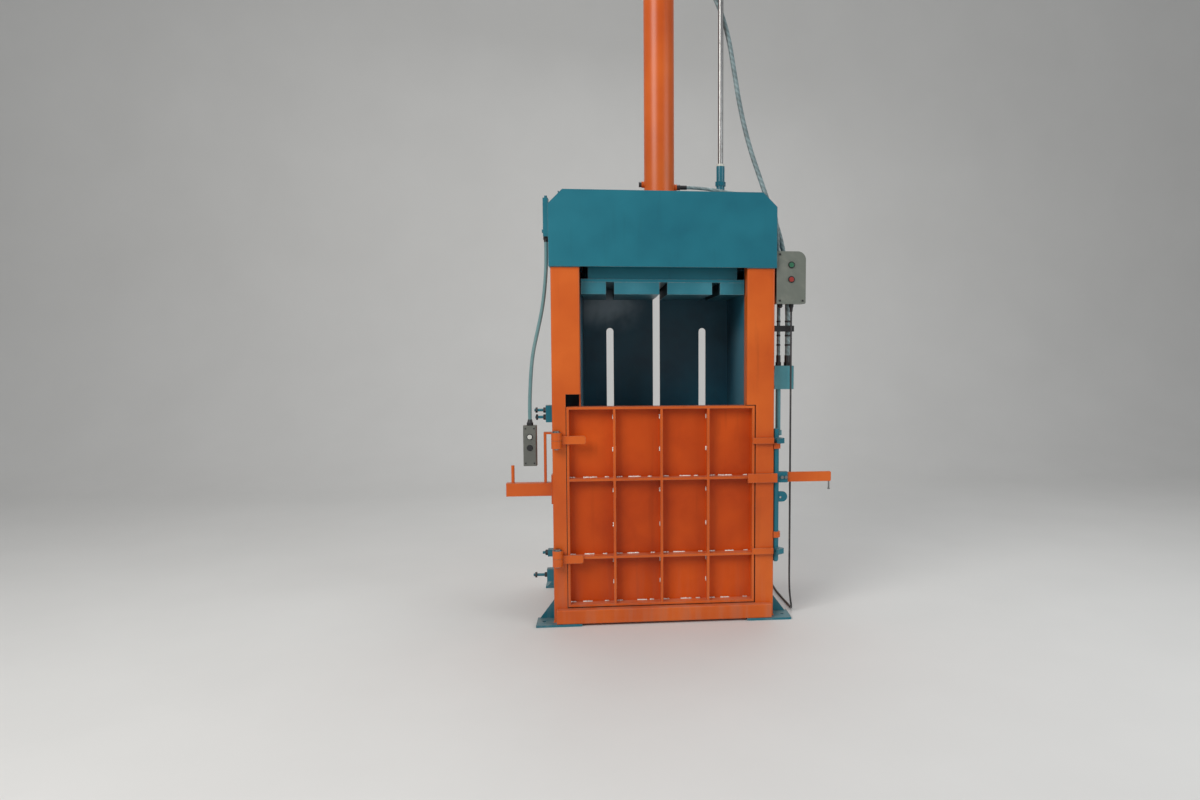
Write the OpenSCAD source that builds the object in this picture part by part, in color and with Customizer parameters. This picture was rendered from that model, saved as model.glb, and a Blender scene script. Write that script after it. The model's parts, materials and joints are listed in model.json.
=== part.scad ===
// Vertical baler with one hydraulic cylinder, a ribbed front door and a turning door lock.
// X runs to the right as the operator stands, Y to the rear and Z up.
// The origin is the centre of the four anchor holes, at floor level.

/* [Frame] */
// Outer width across the posts
frame_w = 1110; // [1060:5:1250]
// Depth from the front faces to the rear faces of the posts
frame_d = 740; // [690:5:860]
// Width of a post
post_w = 140; // [125:5:155]
// Depth of a post
post_d = 100; // [90:5:120]
// Wall of the hollow posts
post_wall = 8; // [5:1:10]
// Outer corner radius of the posts
post_r = 8; // [4:1:9]
// How far the posts run up inside the crosshead
post_lap = 240; // [160:10:280]
// Height of the hollow rails across the front and rear at the floor
sill_h = 70; // [55:5:85]
// Depth of those rails
sill_d = 40; // [30:5:55]
// Length of those rails
sill_len = 1080; // [1000:5:1100]
// Wall of the rails
rail_wall = 5; // [3:1:8]
// Height of the side rails
rail_h = 80; // [60:5:100]
// Depth of the side rails
rail_w = 50; // [40:5:60]
// Height of the middle side rails' centre
rail_mid_z = 1190; // [1000:10:1350]

/* [Crosshead] */
// Height of its lower edge above the floor
beam_z = 1780; // [1770:5:1850]
// Height of the crosshead
beam_h = 370; // [350:5:420]
// Size of its cut corners
beam_cut = 70; // [40:5:90]
// How far its front and rear plates stand above the top plate
beam_lip = 10; // [5:1:20]
// Thickness of its front and rear plates
beam_plate = 12; // [8:1:16]
// Thickness of its end plates
end_plate = 8; // [6:1:12]
// Thickness of its top plate
top_plate = 20; // [16:1:26]
// Thickness of the two webs inside it
web_t = 12; // [8:1:16]
// Distance of each web from the cylinder's axis
web_off = 125; // [122:1:145]
// Clear height under the webs
web_up = 130; // [125:5:160]

/* [Chamber] */
// Thickness of the side and back walls
wall_t = 8; // [5:1:12]
// Distance from the rear faces of the posts to the inside of the back wall
back_in = 20; // [15:1:40]
// Width of the strap slots and grooves
strap_w = 40; // [30:1:50]
// Distance between neighbouring strap slots
strap_pitch = 266; // [240:1:280]
// Distance of the outer slots' tops below the crosshead
slot_drop = 290; // [220:5:380]
// Distance of the middle slot's top below the crosshead
slot_drop_mid = 80; // [60:5:140]
// Height of the lower ends of the slots
slot_low = 200; // [180:5:300]
// Height of the chamber floor above the base plates
floor_h = 128; // [115:1:145]
// Depth of the strap grooves in the floor
floor_groove = 55; // [40:1:70]
// Thickness of the plate under the floor blocks
floor_t = 15; // [8:1:15]
// Wall of the floor blocks and of the pressing blocks
block_wall = 8; // [5:1:12]
// Thickness of the stiffening flats
stiff_t = 10; // [6:1:14]
// Depth of the stiffeners behind the back wall
stiff_d = 45; // [30:1:60]

/* [Feet] */
// Thickness of the base plates
foot_t = 12; // [8:1:16]
// How far they stand out beside the posts
foot_out = 87; // [75:1:90]
// Their depth
foot_d = 128; // [118:2:132]
// Height of their gussets
gusset_h = 100; // [70:5:140]
// Thickness of their gussets
gusset_t = 10; // [6:1:14]
// Distance of the gussets from the rear faces of the front posts
gusset_in = 15; // [5:1:25]
// Anchor hole diameter
anchor_d = 18; // [14:1:24]
// Distance of the anchor holes from the posts' outer faces
anchor_out = 50; // [40:1:60]
// Distance between the front and rear anchor holes
anchor_pitch = 700; // [680:5:720]

/* [Door] */
// Door height
door_h = 1004; // [960:4:1060]
// Clear gap under the door
door_low_gap = 6; // [4:1:12]
// How far the door covers the left post
door_lap_l = 70; // [55:1:75]
// How far the door covers the right post
door_lap_r = 40; // [25:1:60]
// Thickness of the door panel
panel_t = 12; // [8:1:16]
// Depth of the frame and ribs
rib_d = 50; // [40:1:56]
// Thickness of the frame and ribs
rib_t = 12; // [8:1:14]
// Number of columns
columns = 4; // [3:1:6]
// Height from the door's top to the middle of the upper rib
rib_hi_drop = 364; // [300:2:400]
// Height from the door's bottom to the middle of the lower rib
rib_lo_rise = 249; // [200:1:300]
// How far the door's ribs stand proud of the posts
door_proud = 2; // [1:0.5:4]
// Gap beside the door at the hinges
gap_hinge = 3; // [2:0.5:5]
// Gap beside the door at the lock
gap_lock = 6; // [5:0.5:9]
// Height of the opening above the door beside the left post
notch_over = 63; // [40:1:90]
// Height of the gap above the door beside the right post
notch_over_r = 4; // [3:0.5:8]
// Gap between the door and its stops
stop_gap = 0.4; // [0.3:0.1:1]
// Thickness of the door stops
stop_t = 8; // [5:1:10]

/* [Hinges] */
// Outer diameter of the knuckles
barrel_d = 50; // [44:1:54]
// Pin diameter
pin_d = 25; // [18:1:28]
// Height of one knuckle
knuckle_h = 39; // [32:1:46]
// Gap between two knuckles
knuckle_gap = 1; // [0.6:0.1:2]
// Gap between the door's knuckles and the post
knuckle_clear = 1; // [0.5:0.5:4]
// Distance of the hinge line from the left post's outer face
hinge_in = 22; // [22:1:26]
// Height of the upper hinge's middle
hinge_hi_z = 930; // [860:5:980]
// Height of the lower hinge's middle
hinge_lo_z = 343; // [300:1:400]
// Height of a hinge strap
strap_h = 40; // [30:1:44]
// Thickness of the hinge straps and lugs
strap_t = 16; // [12:1:18]
// Reach of the upper hinge strap from the hinge line
strap_hi_len = 142; // [120:1:160]
// Reach of the lower hinge strap from the hinge line
strap_lo_len = 126; // [110:1:150]

/* [Lock] */
// Diameter of the upright lock shaft
shaft_d = 28; // [26:1:30]
// Gap between the shaft and the post
shaft_gap = 1; // [0.5:0.5:4]
// Distance of the shaft's axis behind the posts' front faces
shaft_in = 20; // [18:1:24]
// Height of the shaft's lower end
shaft_z0 = 289; // [260:1:300]
// Height of the shaft's upper end
shaft_z1 = 973; // [960:1:1010]
// Height of the upper lug's middle
lug_hi_z = 915; // [880:5:930]
// Height of the lower lug's middle
lug_lo_z = 350; // [340:5:380]
// Height of a lug's face
lug_h = 30; // [24:1:36]
// Gap between a lug's end and the lock shaft's near side
lug_short = 4; // [3:1:8]
// Height of the middle strap and of the lever
lever_z = 725; // [710:5:745]
// Height of the middle strap's face
keeper_h = 45; // [36:1:50]
// Reach of the middle strap inward from the door's edge
keeper_in = 35; // [25:1:60]
// Reach of the lever from the shaft's axis
lever_len = 285; // [240:5:340]
// Height of the lever's face
lever_h = 50; // [40:1:56]
// Thickness of the lever
lever_t = 12; // [8:1:13]
// Distance of the lever's inner end from the shaft's axis
lever_in = 20; // [16:1:24]
// Thickness of the clevis plates
clevis_t = 8; // [6:1:9]
// Reach of the clevis from the shaft's axis
clevis_len = 58; // [52:1:70]
// Angle that the lock turns between released and locked
lock_turn = 35; // [32:1:36]
// Height of a claw
claw_h = 26; // [20:1:32]
// Height of the middle of the ear on the shaft
ear_z = 624; // [600:1:640]
// Diameter of the ear's round end
ear_d = 53; // [44:1:60]
// Height of the shaft's brackets
bracket_h = 30; // [20:1:40]
// Height of the lower bracket's middle
bracket_lo_z = 430; // [400:5:500]

/* [Press] */
// Bore of the cylinder
bore_d = 130; // [115:5:140]
// Wall of the cylinder
tube_wall = 15; // [12:1:18]
// Diameter of the piston rod
rod_d = 80; // [60:5:90]
// Stroke of the platen
stroke = 1000; // [800:10:1050]
// Piston height
piston_h = 70; // [55:5:90]
// Height left under the piston at the end of its stroke
piston_low = 40; // [35:1:60]
// Diameter of the mounting flange
flange_d = 260; // [256:2:300]
// Thickness of the mounting flange
flange_t = 35; // [25:1:40]
// Diameter of the flange's bolt circle
flange_pcd = 220; // [214:1:222]
// Number of flange bolts
flange_bolts = 8; // [6:2:10]
// Thread diameter of the flange bolts
bolt_d = 20; // [14:1:20]
// Thickness of the end cap
cap_t = 40; // [36:1:50]
// How far the gland reaches into the tube above the crosshead
gland_up = 75; // [60:1:90]
// How far the gland reaches below the crosshead's top face
gland_down = 60; // [50:1:80]
// Thickness of the gland's flange
gland_flange_t = 15; // [10:1:20]

/* [Platen] */
// Gap between the platen and the chamber walls
platen_gap = 5; // [3:1:10]
// Height of the platen's underside when it is raised
platen_z = 1650; // [1620:5:1655]
// Height of the pressing blocks
block_h = 60; // [45:1:65]
// Thickness of the platen plate
plate_t = 15; // [10:1:18]
// Height of the stiffening neck above it
neck_h = 110; // [90:5:115]
// Distance of the neck's ends from the platen's sides
neck_side = 35; // [20:1:50]
// Distance of the neck's front and rear faces from the platen's edges
neck_in = 12; // [5:1:40]
// Thickness of the neck's flats
neck_t = 12; // [8:1:16]
// Thickness of the bridge plate that carries the rod
bridge_t = 20; // [15:1:25]
// Width of the bridge plate
bridge_w = 230; // [220:5:300]
// Diameter of the rod flange
rod_flange_d = 200; // [184:2:214]
// Thickness of the rod flange
rod_flange_t = 30; // [20:1:35]
// Diameter of the rod flange's bolt circle
rod_pcd = 150; // [142:1:156]
// Thread diameter of the rod flange's bolts
rod_bolt_d = 16; // [10:1:18]
// Diameter of the striker rod
striker_d = 28; // [20:1:30]
// Distance of the striker rod from the cylinder's axis
striker_x = 330; // [280:5:345]
// Height of the striker guide above the crosshead's top plate
guide_h = 210; // [150:5:300]

/* [Hydraulics] */
// Outer diameter of the hose to the cap
hose_d = 25; // [18:1:28]
// Outer diameter of the hose to the rod end
hose_small_d = 18; // [12:1:22]
// Width of the coupling block
block_w = 100; // [94:1:120]
// Depth of the coupling block
block_d = 60; // [50:1:64]
// Height of the coupling block
block_tall = 120; // [90:5:150]
// Height of its top
block_top = 1290; // [1260:5:1310]
// Radius of the open port
port_r = 12; // [9:0.5:14]
// Depth of the open port
port_len = 20; // [15:1:30]
// Outer diameter of the supply pipe
pipe_d = 26; // [20:1:30]
// Length of the supply pipe
pipe_len = 240; // [150:5:300]

/* [Starter] */
// Width of the starter box
box_w = 148; // [140:1:156]
// Height of the starter box
box_h = 262; // [240:1:280]
// Depth of the starter box
box_d = 88; // [80:1:92]
// Depth of its cover
cover_d = 26; // [24:1:34]
// Wall of the box and the cover
box_wall = 3; // [2:0.5:5]
// Height of the starter box's lower edge
box_z = 1603; // [1590:1:1630]
// Radius of its upper right corner
box_r = 42; // [20:1:48]
// Diameter of its push buttons
button_d = 24; // [18:1:28]
// Travel of the push buttons
button_travel = 4; // [2:0.5:5]
// Diameter of the power lead
lead_d = 10; // [8:0.5:11]

/* [Pendant] */
// Width of the pendant
pendant_w = 66; // [52:1:72]
// Depth of the pendant
pendant_d = 48; // [44:1:60]
// Height of the pendant
pendant_h = 200; // [170:5:220]
// Diameter of its push buttons
pendant_button_d = 22; // [16:1:26]
// Diameter of the control cable
cable_d = 18; // [14:1:19]

/* [Reel bracket] */
// Length of the bracket arm
arm_len = 222; // [205:1:260]
// Height of the arm
arm_h = 65; // [50:1:70]
// Depth of the arm
arm_d = 40; // [30:1:50]
// Height of the arm's upper face
arm_z = 712; // [680:2:730]
// Height of the end pin above the arm
reel_pin_h = 88; // [60:1:88]
// Height of the upright above the arm
upright_h = 253; // [200:1:270]

/* [Hidden] */

$fn = 48;
run_gap = 0.05;   // radial clearance of a shaft in its hole
seat_gap = 0.3;   // gap between pieces that rest on each other but are not fixed
over = 1;         // overshoot of a cut

orange = [0.80, 0.33, 0.13];
orange_dark = [0.68, 0.25, 0.10];
teal = [0.10, 0.42, 0.52];
steel = [0.62, 0.63, 0.64];
dark = [0.13, 0.14, 0.15];
slate = [0.12, 0.17, 0.23];
olive = [0.33, 0.34, 0.32];

// Frame
x_out = frame_w / 2;
x_in = x_out - post_w;
y_front = -frame_d / 2;
y_rear = frame_d / 2;
y_post = y_front + post_d;
z_base = foot_t;
z_sill = z_base + sill_h;
rail_r = 6;
drain_d = 12;

// Crosshead
x_beam = x_out + end_plate;
beam_top = beam_z + beam_h;
z_top = beam_top - beam_lip;
z_under = z_top - top_plate;
corner_out = x_beam + beam_top - beam_cut;
corner_in = corner_out - end_plate * sqrt(2);

// Door
x_d0 = -(x_in + door_lap_l);
x_d1 = x_in + door_lap_r;
z_d0 = z_sill + door_low_gap;
z_d1 = z_d0 + door_h;
y_door = y_front - door_proud;
y_panel = y_door + rib_d;
y_stop = y_panel + panel_t + stop_gap;
x_notch_l = -(x_in + door_lap_l + gap_hinge);
x_notch_r = x_in + door_lap_r + gap_lock;
column_w = (x_d1 - x_d0) / columns;
rib_zs = [z_d0 + rib_lo_rise, z_d1 - rib_hi_drop];

// Chamber
door_room = 3;
y_ch = y_stop - stop_gap + door_room;
y_back = y_rear - back_in;
y_axis = (y_ch + y_back) / 2;
z_groove = z_base + floor_h - floor_groove;
z_floor = z_base + floor_h;
slot_top = beam_z - slot_drop;
slot_top_mid = beam_z - slot_drop_mid;
slot_edge = strap_pitch + strap_w / 2;
slot_near = strap_pitch - strap_w / 2;
stiff_xs = [-strap_pitch * 1.27, -strap_pitch / 2, strap_pitch / 2, strap_pitch * 1.27];
threshold_t = 8;

// Hinges: for each its middle height, its strap's middle height and its strap's reach
x_hinge = -(x_out - hinge_in);
y_hinge = y_front - barrel_d / 2 - knuckle_clear;
pin_head_d = pin_d + 8;
pin_head_h = 8;
pin_tail = 6;
saddle_w = 24;
strap_r = strap_h / 4;
strap_lo_drop = 10;
hinges = [[hinge_hi_z, hinge_hi_z, strap_hi_len], [hinge_lo_z, hinge_lo_z - strap_lo_drop, strap_lo_len]];

// Lock
x_shaft = x_out + shaft_gap + shaft_d / 2;
y_shaft = y_front + shaft_in;
claw_gap = 1.5;
claw_near = -shaft_d / 2;
claw_face = y_door - strap_t - claw_gap - y_shaft;
claw_back = claw_face - 12.5;
claw_reach = claw_near - 20;
bracket_r = shaft_d / 2 + 8;
bracket_hi_z = lug_hi_z - claw_h / 2 - seat_gap - bracket_h / 2;
ear_t = 10;
ear_hole_d = 10;
clevis_h = lever_h + 4;
lever_bolt_d = 10;
lever_bolt_xs = [lever_in + 9, clevis_len - 9];
lever_nut_h = 7;
lever_r = 6;
lever_pin_d = 8;
lever_pin_len = 42;

// Press
tube_r = bore_d / 2 + tube_wall;
piston_top_gap = 5;
z_tube = z_top + gland_up + piston_low + piston_h + stroke + piston_top_gap;
z_piston = z_tube - piston_top_gap - piston_h;
z_rod_port = z_top + gland_up + 20;
z_cap_port = z_tube + cap_t / 2;
z_bleed = z_rod_port + 12;
port_boss_r = 17;
port_boss_x = tube_r + 14;
port_bore = 8;
spigot_d = rod_d - 22;
nut_len = 18;
ferrule_len = 35;
hose_x0 = port_boss_x + nut_len + ferrule_len;
gland_flange_r = bore_d / 2 + 28;
gland_pcd = bore_d + 30;
ring_h = 8;
ring_depth = 6;
ring_zs = [z_piston + piston_h * 0.25, z_piston + piston_h * 0.65];

// Platen
platen_x = x_in - platen_gap;
neck_w = 2 * (platen_x - neck_side);
y_p0 = y_ch + platen_gap;
y_p1 = y_back - platen_gap;
z_plate = platen_z + block_h;
z_neck = z_plate + plate_t;
z_bridge = z_neck + neck_h;
bush_h = 12;
striker_spare = 40;
striker_len = z_top + guide_h + bush_h + stroke + striker_spare - z_bridge;

// Coupling block and hoses
x_block = x_out + 15;
block_y = y_front + 105;
hose_xs = [x_block + 25, x_block + 72];
hose_end_z = block_top + nut_len + ferrule_len;
clamp_z = box_z - 123;
clamp_h = 30;
// The hoses' free points are drawn for posts at x = 555 and an axis at y = 21.5, and follow the real ones
drawn_x = 555;
drawn_axis = 21.5;
drawn_drop = 286.5;
function hose_point(p) = [
    p[0] + (x_out - drawn_x) * p[0] / 600,
    y_axis + (p[1] - drawn_axis) * (y_axis - block_y) / drawn_drop,
    p[2]];
cap_free = [
    [240, 36, 3322], [300, 56, 3245], [345, 62, 3145], [378, 52, 3020], [404, 36, 2860], [428, 18, 2700],
    [455, 0, 2560], [490, -20, 2420], [525, -50, 2300], [557, -80, 2190], [590, -112, 2080],
    [618, -145, 1980], [634, -180, 1880], [641, -212, 1780], [642, -240, 1680], [642, -256, 1600]
];
rod_free = [
    [230, 5, 2229], [280, -18, 2220], [335, -32, 2210], [420, -55, 2194], [490, -95, 2182],
    [545, -145, 2160], [582, -178, 2105], [596, -198, 2020], [600, -212, 1920], [600, -225, 1820],
    [599, -238, 1720], [597, -250, 1640], [596, -260, 1585]
];
function hose_start(z) = [for (d = [0, 12, 30]) [hose_x0 + d, y_axis, z]];
function hose_foot(x) = [for (z = [clamp_z + 60, clamp_z + 30, clamp_z - 40, hose_end_z]) [x, block_y, z]];
cap_route = concat(hose_start(z_cap_port), [for (p = cap_free) hose_point(p)], hose_foot(hose_xs[1]));
rod_route = concat(hose_start(z_rod_port), [for (p = rod_free) hose_point(p)], hose_foot(hose_xs[0]));

// Starter box
x_box = x_beam + 2;
y_box = y_front + 5;
box_x_mid = x_box + box_w / 2;
start_rise = 194;
stop_rise = 122;
start_z = box_z + start_rise;
stop_z = box_z + stop_rise;
box_plate_t = 6;
button_flange = 3;
button_seat = 12;
button_out = 2;
y_lead = y_front + 55;
lead_x = x_out + 95;
blank_x = x_out + 38;
// The cords' points are drawn for the frame's own size, and follow its right side, front and rear
function right_point(p) = p + [x_out - drawn_x, p[1] < 0 ? y_front + 370 : y_rear - 370, 0];
function left_point(p) = p + [drawn_x - x_out, y_front + 370, 0];
lead_points = [
    [650, -315, 1565], [650, -315, 1450], [650, -315, 1330], [650, -315, 1200], [650, -315, 1050],
    [650, -315, 900], [650, -315, 750], [650, -315, 600], [650, -315, 450], [650, -315, 300],
    [650, -315, 190], [653, -313, 115], [662, -300, 58], [672, -268, 20], [676, -225, 7],
    [674, -170, 5.5], [669, -100, 5.5], [664, -20, 5.5], [660, 70, 5.5], [660, 160, 5.5],
    [661, 250, 5.5], [660, 340, 5.5], [660, 410, 5.5], [660, 478, 5.5]
];
lead_route = [for (p = lead_points) right_point(p)];
coil_x = x_out + 40;
coil_y = y_rear + 125;
coil_mid = 55;
tail_points = [[600, 560, 25], [575, 561, 25], [550, 560, 27], [532, 560, 28], [526, 560, 28], [520, 560, 28]];
tail_route = [for (p = tail_points) right_point(p)];
plug_x = x_out - 35;
plug_y = y_rear + 190;
plug_r = 28;

// Pendant and its cable
cable_x = -(x_beam + 13);
cable_y = y_front + 40;
bracket_z = 1925;
bracket_tall = 185;
bracket_out = 25;
cable_points = [
    [-576, -330, 1900], [-576, -330, 1845], [-577, -330, 1785], [-581, -330, 1720], [-588, -330, 1650],
    [-598, -330, 1580], [-612, -330, 1510], [-628, -330, 1440], [-643, -330, 1370], [-653, -330, 1300],
    [-659, -330, 1225], [-663, -330, 1150], [-665, -330, 1085], [-665, -330, 1030]
];
cable_route = [for (p = cable_points) left_point(p)];
pendant_x = -(x_out + 110);
pendant_top = 1000;
pendant_button_zs = [pendant_top - 55, pendant_top - 110];
y_pendant = cable_y - pendant_d / 2;

// Reel bracket and side lugs
reel_y = y_front + 50;
reel_plate_t = 8;
reel_plate_h = 145;
reel_plate_low = 40;
reel_pin_d = 16;
reel_pin_in = 32;
upright_x = -(x_out + 38);
upright_w = 30;
upright_t = 12;
// Middle height, height and width of each lug on the left post, with its studs' heights and reaches
lug_rows = [
    [hinge_hi_z + 127, 84, 32, [[18, 56], [-17, 52]]],
    [hinge_lo_z + 14, 34, 30, [[0, 26]]],
    [hinge_lo_z - 99, 62, 35, [[0, 68]]]
];
stud_d = 14;

// The four bands between the strap grooves, from the left to the right
function bands(half) = [
    [-half, -slot_edge], [-slot_near, -strap_w / 2], [strap_w / 2, slot_near], [slot_edge, half]];
function unit(v) = v / norm(v);
function cat(a, b, c, d, t) = 0.5 * (2 * b + (c - a) * t + (2 * a - 5 * b + 4 * c - d) * t * t
    + (3 * b - a - 3 * c + d) * t * t * t);
function smooth(p, n) = concat(
    [for (i = [0:len(p) - 2]) for (k = [0:n - 1])
        cat(p[max(i - 1, 0)], p[i], p[i + 1], p[min(i + 2, len(p) - 1)], k / n)],
    [p[len(p) - 1]]);

module block(a, b) {
    translate(a) cube(b - a);
}

module block_2d(a, b) {
    translate(a) square(b - a);
}

module both_sides() {
    children();
    mirror([1, 0, 0]) children();
}

module both_ends() {
    children();
    mirror([0, 1, 0]) children();
}

module rsquare(w, d, r) {
    square([w - 2 * r, d], center = true);
    square([w, d - 2 * r], center = true);
    for (sx = [-1, 1])
        for (sy = [-1, 1])
            translate([sx * (w / 2 - r), sy * (d / 2 - r)]) circle(r = r);
}

// A profile drawn in X and Z, made t thick from y to y + t
module plate_xz(y, t) {
    translate([0, y + t, 0]) rotate([90, 0, 0]) linear_extrude(t) children();
}

module bar_x(x0, x1, y, z, d) {
    translate([x0, y, z]) rotate([0, 90, 0]) cylinder(d = d, h = x1 - x0);
}

module bar_y(x, y0, y1, z, d) {
    translate([x, y0, z]) rotate([-90, 0, 0]) cylinder(d = d, h = y1 - y0);
}

// A hollow rail along X with closed ends and a drain hole
module rail_along_x(a, b) {
    wall = [rail_wall, rail_wall, rail_wall];
    difference() {
        translate([a[0], (a[1] + b[1]) / 2, (a[2] + b[2]) / 2])
            rotate([90, 0, 90]) linear_extrude(b[0] - a[0]) rsquare(b[1] - a[1], b[2] - a[2], rail_r);
        block(a + wall, b - wall);
        translate([0, (a[1] + b[1]) / 2, a[2] - over]) cylinder(d = drain_d, h = rail_wall + 2 * over);
    }
}

// A hollow rail along Y with open ends
module rail_along_y(a, b) {
    translate([(a[0] + b[0]) / 2, b[1], (a[2] + b[2]) / 2]) rotate([90, 0, 0])
        linear_extrude(b[1] - a[1]) difference() {
            rsquare(b[0] - a[0], b[2] - a[2], rail_r);
            square([b[0] - a[0] - 2 * rail_wall, b[2] - a[2] - 2 * rail_wall], center = true);
        }
}

module bolt(d, grip) {
    translate([0, 0, -grip]) cylinder(d = d, h = grip);
    cylinder(d = 1.8 * d, h = 0.65 * d, $fn = 6);
}

// One swept tube along a path; ref is never parallel to the path
module tube_along(path, r, sides, ref) {
    n = len(path);
    rings = [for (i = [0:n - 1])
        let (t = unit(path[min(i + 1, n - 1)] - path[max(i - 1, 0)]))
        let (a = unit(cross(t, ref)), b = cross(t, a))
        for (k = [0:sides - 1]) path[i] + r * (cos(360 * k / sides) * a + sin(360 * k / sides) * b)];
    walls = [for (i = [0:n - 2]) for (k = [0:sides - 1])
        let (m = (k + 1) % sides)
        [i * sides + k, (i + 1) * sides + k, (i + 1) * sides + m, i * sides + m]];
    ends = [[for (k = [0:sides - 1]) k], [for (k = [sides - 1:-1:0]) (n - 1) * sides + k]];
    polyhedron(points = rings, faces = concat(walls, ends));
}

module post(h) {
    translate([x_in + post_w / 2, y_front + post_d / 2, z_base]) linear_extrude(h) difference() {
        rsquare(post_w, post_d, post_r);
        square([post_w - 2 * post_wall, post_d - 2 * post_wall], center = true);
    }
}

module posts_front() color(orange) {
    difference() {
        mirror([1, 0, 0]) post(beam_z + post_lap - z_base);
        block([x_notch_l, y_front - over, z_sill], [-x_in + over, y_stop, z_d1 + notch_over]);
    }
    difference() {
        post(beam_z + post_lap - z_base);
        block([x_in - over, y_front - over, z_sill], [x_notch_r, y_stop, z_d1 + notch_over_r]);
    }
}

module posts_rear() color(orange)
    mirror([0, 1, 0]) both_sides() post(beam_z + post_lap - z_base);

module sills() color(orange)
    both_ends() rail_along_x([-sill_len / 2, y_front - sill_d, z_base], [sill_len / 2, y_front, z_sill]);

module side_rails() color(orange)
    both_sides() for (z = [z_base, rail_mid_z - rail_h / 2])
        rail_along_y([x_in + wall_t, y_post, z], [x_in + wall_t + rail_w, -y_post, z + rail_h]);

module side_stiffeners() color(orange)
    both_sides() both_ends() {
        block([x_in + wall_t, y_post / 3 - stiff_t / 2, z_base + rail_h],
            [x_in + wall_t + rail_w, y_post / 3 + stiff_t / 2, rail_mid_z - rail_h / 2]);
        block([x_in + wall_t, y_post / 3 - stiff_t / 2, rail_mid_z + rail_h / 2],
            [x_in + wall_t + rail_w, y_post / 3 + stiff_t / 2, beam_z]);
    }

module side_walls() color(slate)
    both_sides() block([x_in, y_post, z_base], [x_in + wall_t, -y_post, beam_z]);

module strap_slot(x, top) {
    block([x - strap_w / 2, y_back - over, slot_low + strap_w / 2],
        [x + strap_w / 2, y_back + wall_t + over, top - strap_w / 2]);
    for (z = [slot_low + strap_w / 2, top - strap_w / 2])
        bar_y(x, y_back - over, y_back + wall_t + over, z, strap_w);
}

module back_wall() color(slate) difference() {
    block([-x_in, y_back, z_base], [x_in, y_back + wall_t, beam_z]);
    for (i = [-1, 1]) strap_slot(i * strap_pitch, slot_top);
    strap_slot(0, slot_top_mid);
}

module back_stiffeners() color(orange) {
    ys = [y_back + wall_t, y_back + wall_t + stiff_d];
    for (x = stiff_xs)
        block([x - stiff_t / 2, ys[0], z_sill], [x + stiff_t / 2, ys[1], beam_z]);
    for (z = [slot_low - 40 - stiff_t, slot_top_mid + 20])
        block([stiff_xs[0], ys[0], z], [stiff_xs[3], ys[1], z + stiff_t]);
}

// The plate under the floor blocks, its bearers and the threshold behind the front rail
module floor_plate() color(orange) {
    block([-x_in, y_ch, z_groove - floor_t], [x_in, y_back, z_groove]);
    for (y = [-x_in / 2, 0, x_in / 2])
        block([-x_in, y - stiff_t / 2, z_base], [x_in, y + stiff_t / 2, z_groove - floor_t]);
    block([-x_in, y_ch, z_base], [x_in, y_ch + stiff_t, z_groove]);
    block([-x_in, y_front, z_sill - threshold_t], [x_in, y_ch + stiff_t, z_sill]);
}

// Four blocks with grooves between them, hollow from the side that is hidden
module strap_blocks(half, y0, y1, z0, z1, hollow_z0, hollow_z1) {
    for (band = bands(half)) difference() {
        block([band[0], y0, z0], [band[1], y1, z1]);
        block([band[0] + block_wall, y0 + block_wall, hollow_z0],
            [band[1] - block_wall, y1 - block_wall, hollow_z1]);
    }
}

module floor_blocks() color(slate)
    strap_blocks(x_in, y_ch, y_back, z_groove, z_floor, z_groove - over, z_floor - block_wall);

module door_stops() color(orange_dark) {
    block([x_notch_l, y_stop, z_sill], [-x_in - post_wall, y_stop + stop_t, z_d1]);
    block([x_notch_l - stop_t, y_front + post_wall, z_sill], [x_notch_l, y_stop + stop_t, z_d1]);
    block([x_in + post_wall, y_stop, z_sill], [x_notch_r, y_stop + stop_t, z_d1]);
    block([x_notch_r, y_front + post_wall, z_sill], [x_notch_r + stop_t, y_stop + stop_t, z_d1]);
}

module feet() color(teal)
    both_sides() both_ends() {
        difference() {
            block([x_in, y_front - sill_d, 0], [x_out + foot_out, y_front - sill_d + foot_d, foot_t]);
            translate([x_out + anchor_out, -anchor_pitch / 2, -over])
                cylinder(d = anchor_d, h = foot_t + 2 * over);
        }
        plate_xz(y_post - gusset_in - gusset_t, gusset_t) polygon([
            [x_out, foot_t], [x_out + foot_out - foot_t, foot_t], [x_out, foot_t + gusset_h]]);
    }

module beam_outline() polygon([
    [-x_beam, beam_z], [x_beam, beam_z], [x_beam, beam_top - beam_cut], [x_beam - beam_cut, beam_top],
    [beam_cut - x_beam, beam_top], [-x_beam, beam_top - beam_cut]]);

module crosshead_plates() color(teal)
    for (y = [y_front - beam_plate, y_rear]) plate_xz(y, beam_plate) beam_outline();

module crosshead_ends() color(teal)
    both_sides() plate_xz(y_front, frame_d) polygon([
        [x_out, beam_z], [x_beam, beam_z], [x_beam, beam_top - beam_cut], [corner_out - z_top, z_top],
        [corner_in - z_top, z_top], [x_out, corner_in - x_out]]);

module crosshead_top() color(teal) difference() {
    plate_xz(y_front, frame_d) polygon([
        [z_under - corner_in, z_under], [corner_in - z_under, z_under],
        [corner_in - z_top, z_top], [z_top - corner_in, z_top]]);
    translate([0, y_axis, z_under - over]) cylinder(d = bore_d + 1, h = top_plate + 2 * over);
    translate([striker_x, y_axis, z_under - over]) cylinder(d = striker_d + 4, h = top_plate + 2 * over);
    at_flange_bolts() translate([0, 0, z_under - over])
        cylinder(d = bolt_d + 2 * run_gap, h = top_plate + 2 * over);
    at_gland_bolts() translate([0, 0, z_under - over]) cylinder(d = rod_bolt_d + 2 * run_gap, h = 12 + over);
}

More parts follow.
